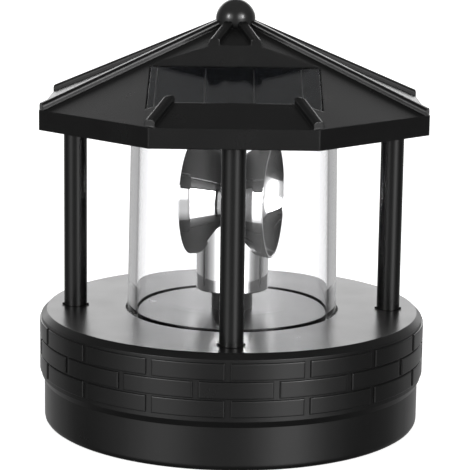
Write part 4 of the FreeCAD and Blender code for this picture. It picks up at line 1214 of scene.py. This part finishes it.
@dataclass
class Studio:
    """Pale floor, white backdrop, dim sides and two soft boxes.

    Attributes:
        floor: Half width of the floor in metres.
        pale: Brightness of the floor's colour.
        matt: Roughness of the floor.
        skin: Refractive index of the floor's skin.
        glow: Light that the floor shows by itself, so that it reads as white.
        ring: Brightness of the low surroundings at each azimuth from the camera's side.
        back: Brightness of the backdrop above the horizon.
        behind: Azimuth past which the backdrop hangs, in degrees either way.
        bright: Brightness from which a part of the ring counts as bright.
        glare: How much brighter the ring's bright parts are above the horizon.
        lift: Heights of the direction between which the ring goes over to what is above the horizon.
        sink: Heights between which it goes over to what is straight below.
        crown: Heights between which it goes over to what is overhead.
        high: Brightness of the surroundings overhead.
        under: Brightness of the surroundings straight below.
        glass: Least brightness of the backdrop as seen through glass.
        plain: Even level at which the surroundings light dull surfaces.
        box: Width and height of a soft box in metres.
        power: Power of a soft box in watts.
        distance: Distance of the soft boxes from the object in metres.
        side: Azimuth of the soft boxes from the camera's side, in degrees.
        rise: Elevation of the soft boxes in degrees.
        aim: Height at which the soft boxes look, in metres.
    """

    floor: float = 6.0
    pale: float = 0.80
    matt: float = 0.8
    skin: float = 1.2
    glow: float = 0.75
    ring: tuple[Pair, ...] = (
        (-180, 0.55), (-160, 0.50), (-140, 0.40), (-124, 0.34), (-106, 0.12), (-88, 0.12), (-62, 0.72),
        (-50, 1.70), (-36, 1.90), (-24, 0.85), (-12, 0.49), (6, 0.49), (16, 0.85), (26, 2.60), (38, 3.10),
        (48, 1.70), (60, 0.50), (78, 0.12), (108, 0.12), (124, 0.34), (145, 0.40), (162, 0.52), (180, 0.55))
    back: float = 2.64
    behind: float = 158.0
    bright: float = 0.8
    glare: float = 4.0
    lift: Pair = (0.0, 0.12)
    sink: Pair = (-0.30, -0.75)
    crown: Pair = (0.26, 0.62)
    high: float = 0.16
    under: float = 0.06
    glass: float = 0.75
    plain: float = 0.65
    box: Pair = (0.14, 0.24)
    power: float = 2.5
    distance: float = 0.9
    side: float = 43.0
    rise: float = 18.0
    aim: float = 0.07

    def build(self) -> None:
        """Makes the floor, the surroundings and the lamps."""
        self._floor()
        self._world()
        for name, turn in (("soft_left", -self.side), ("soft_right", self.side)):
            self._box(name, turn)

    def _floor(self) -> None:
        """Lays the floor, pale from above. Reflections and views from below pass through it."""
        w = self.floor
        mesh = bpy.data.meshes.new("floor")
        mesh.from_pydata([(-w, -w, 0), (w, -w, 0), (w, w, 0), (-w, w, 0)], [], [(0, 1, 2, 3)])
        plane = bpy.data.objects.new("floor", mesh)
        bpy.context.scene.collection.objects.link(plane)
        coat = Coat("floor")
        pale = coat.surface(Base_Color=(*grey(self.pale), 1.0), Roughness=self.matt, IOR=self.skin,
                            Emission_Color=(*grey(1.0), 1.0), Emission_Strength=self.glow)
        pick = coat.add("ShaderNodeMixShader")
        front = coat.sum("LESS_THAN", coat.add("ShaderNodeNewGeometry").outputs["Backfacing"], coat.HALF)
        coat.join(coat.sum("MULTIPLY", coat.in_view(), front), pick.inputs[0])
        coat.join(coat.add("ShaderNodeBsdfTransparent").outputs[0], pick.inputs[1])
        coat.join(pale.outputs[0], pick.inputs[2])
        coat.join(pick.outputs[0], coat.output.inputs["Surface"])
        mesh.materials.append(coat.material)

    def _raised(self, azimuth: float, low: float) -> float:
        """Gives the brightness above the horizon, over a part of the ring.

        Args:
            azimuth: Azimuth of the part in degrees.
            low: Its brightness below.

        Returns:
            The brightness above it.
        """
        if abs(azimuth) > self.behind:
            return self.back
        return low * self.glare if low > self.bright else low

    def _world(self) -> None:
        """Fills the surroundings.

        Gloss and glass see the ring low down, the backdrop behind and the dim parts overhead and below. Dull
        surfaces see one plain level, and the camera sees white.
        """
        world = bpy.data.worlds.new("surroundings")
        bpy.context.scene.world = world
        world.use_nodes = True
        sky = Graph(world.node_tree)
        way = sky.add("ShaderNodeTexCoord").outputs["Generated"]
        split = sky.add("ShaderNodeSeparateXYZ")
        sky.join(way, split.inputs[0])
        level = sky.around(way, self.ring)
        raised = sky.around(way, tuple((azimuth, self._raised(azimuth, low)) for azimuth, low in self.ring))
        for other, zone in ((raised, self.lift), (self.under, self.sink), (self.high, self.crown)):
            level = sky.blend(level, other, sky.span(split.outputs["Z"], 0.0, 1.0, *zone, "SMOOTHSTEP"))
        path = sky.add("ShaderNodeLightPath")
        mirrored = sky.sum("MAXIMUM", path.outputs["Is Glossy Ray"], path.outputs["Is Transmission Ray"])
        level = sky.blend(level, self.plain, sky.sum("LESS_THAN", mirrored, sky.HALF))
        through = sky.sum("MAXIMUM", sky.sum("MINIMUM", level, 1.0), self.glass)
        level = sky.blend(level, through, sky.in_view())
        level = sky.blend(level, 1.0, path.outputs["Is Camera Ray"])
        back = sky.add("ShaderNodeBackground")
        back.inputs["Color"].default_value = (*grey(1.0), 1.0)
        sky.join(level, back.inputs["Strength"])
        sky.join(back.outputs[0], sky.add("ShaderNodeOutputWorld").inputs[0])

    def _box(self, name: str, turn: float) -> None:
        """Hangs a soft box at the camera's side, facing the object.

        Args:
            name: Lamp name.
            turn: Azimuth from the camera's side in degrees.
        """
        a, e = math.radians(turn), math.radians(self.rise)
        way = Vector((math.sin(a) * math.cos(e), -math.cos(a) * math.cos(e), math.sin(e)))
        data = bpy.data.lights.new(name, "AREA")
        data.shape = "RECTANGLE"
        data.size, data.size_y = self.box
        data.energy = self.power
        lamp = bpy.data.objects.new(name, data)
        lamp.location = way * self.distance + Vector((0, 0, self.aim))
        lamp.rotation_mode = "QUATERNION"
        lamp.rotation_quaternion = way.to_track_quat("Z", "Y")
        bpy.context.scene.collection.objects.link(lamp)


@dataclass
class Viewpoint:
    """The photograph's camera.

    Attributes:
        lens: Focal length in millimetres.
        sensor: Width of the sensor in millimetres.
        place: Where the camera stands in metres.
        pitch: Degrees that it looks down.
        roll: Degrees that it leans.
        shift: Framing shift, as shares of the image.
    """

    lens: float = 147.73
    sensor: float = 36.0
    place: tuple[float, float, float] = (0.0, -0.5876, 0.1737)
    pitch: float = 10.616
    roll: float = 0.793
    shift: Pair = (0.0043, -0.0391)

    def build(self) -> None:
        """Makes the camera and gives it to the scene."""
        data = bpy.data.cameras.new("camera")
        data.lens = self.lens
        data.sensor_width = self.sensor
        data.shift_x, data.shift_y = self.shift
        camera = bpy.data.objects.new("camera", data)
        camera.location = self.place
        camera.rotation_mode = "QUATERNION"
        tilt = Euler((math.radians(90 - self.pitch), 0, 0)).to_matrix()
        lean = Matrix.Rotation(math.radians(self.roll), 3, "Z")
        camera.rotation_quaternion = (tilt @ lean).to_quaternion()
        bpy.context.scene.collection.objects.link(camera)
        bpy.context.scene.camera = camera


def main() -> None:
    """Builds the dressed scene."""
    logging.basicConfig(level=logging.INFO, format="%(name)s: %(message)s")
    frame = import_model()
    bpy.context.scene.view_settings.view_transform = "Standard"
    Viewpoint().build()
    paints = Paints()
    paints.dress_frame(frame)
    for part in (Base(), Lantern(), Finial(), SolarWindow()):
        part.build(paints)
    Studio().build()


if __name__ == "__main__":
    main()
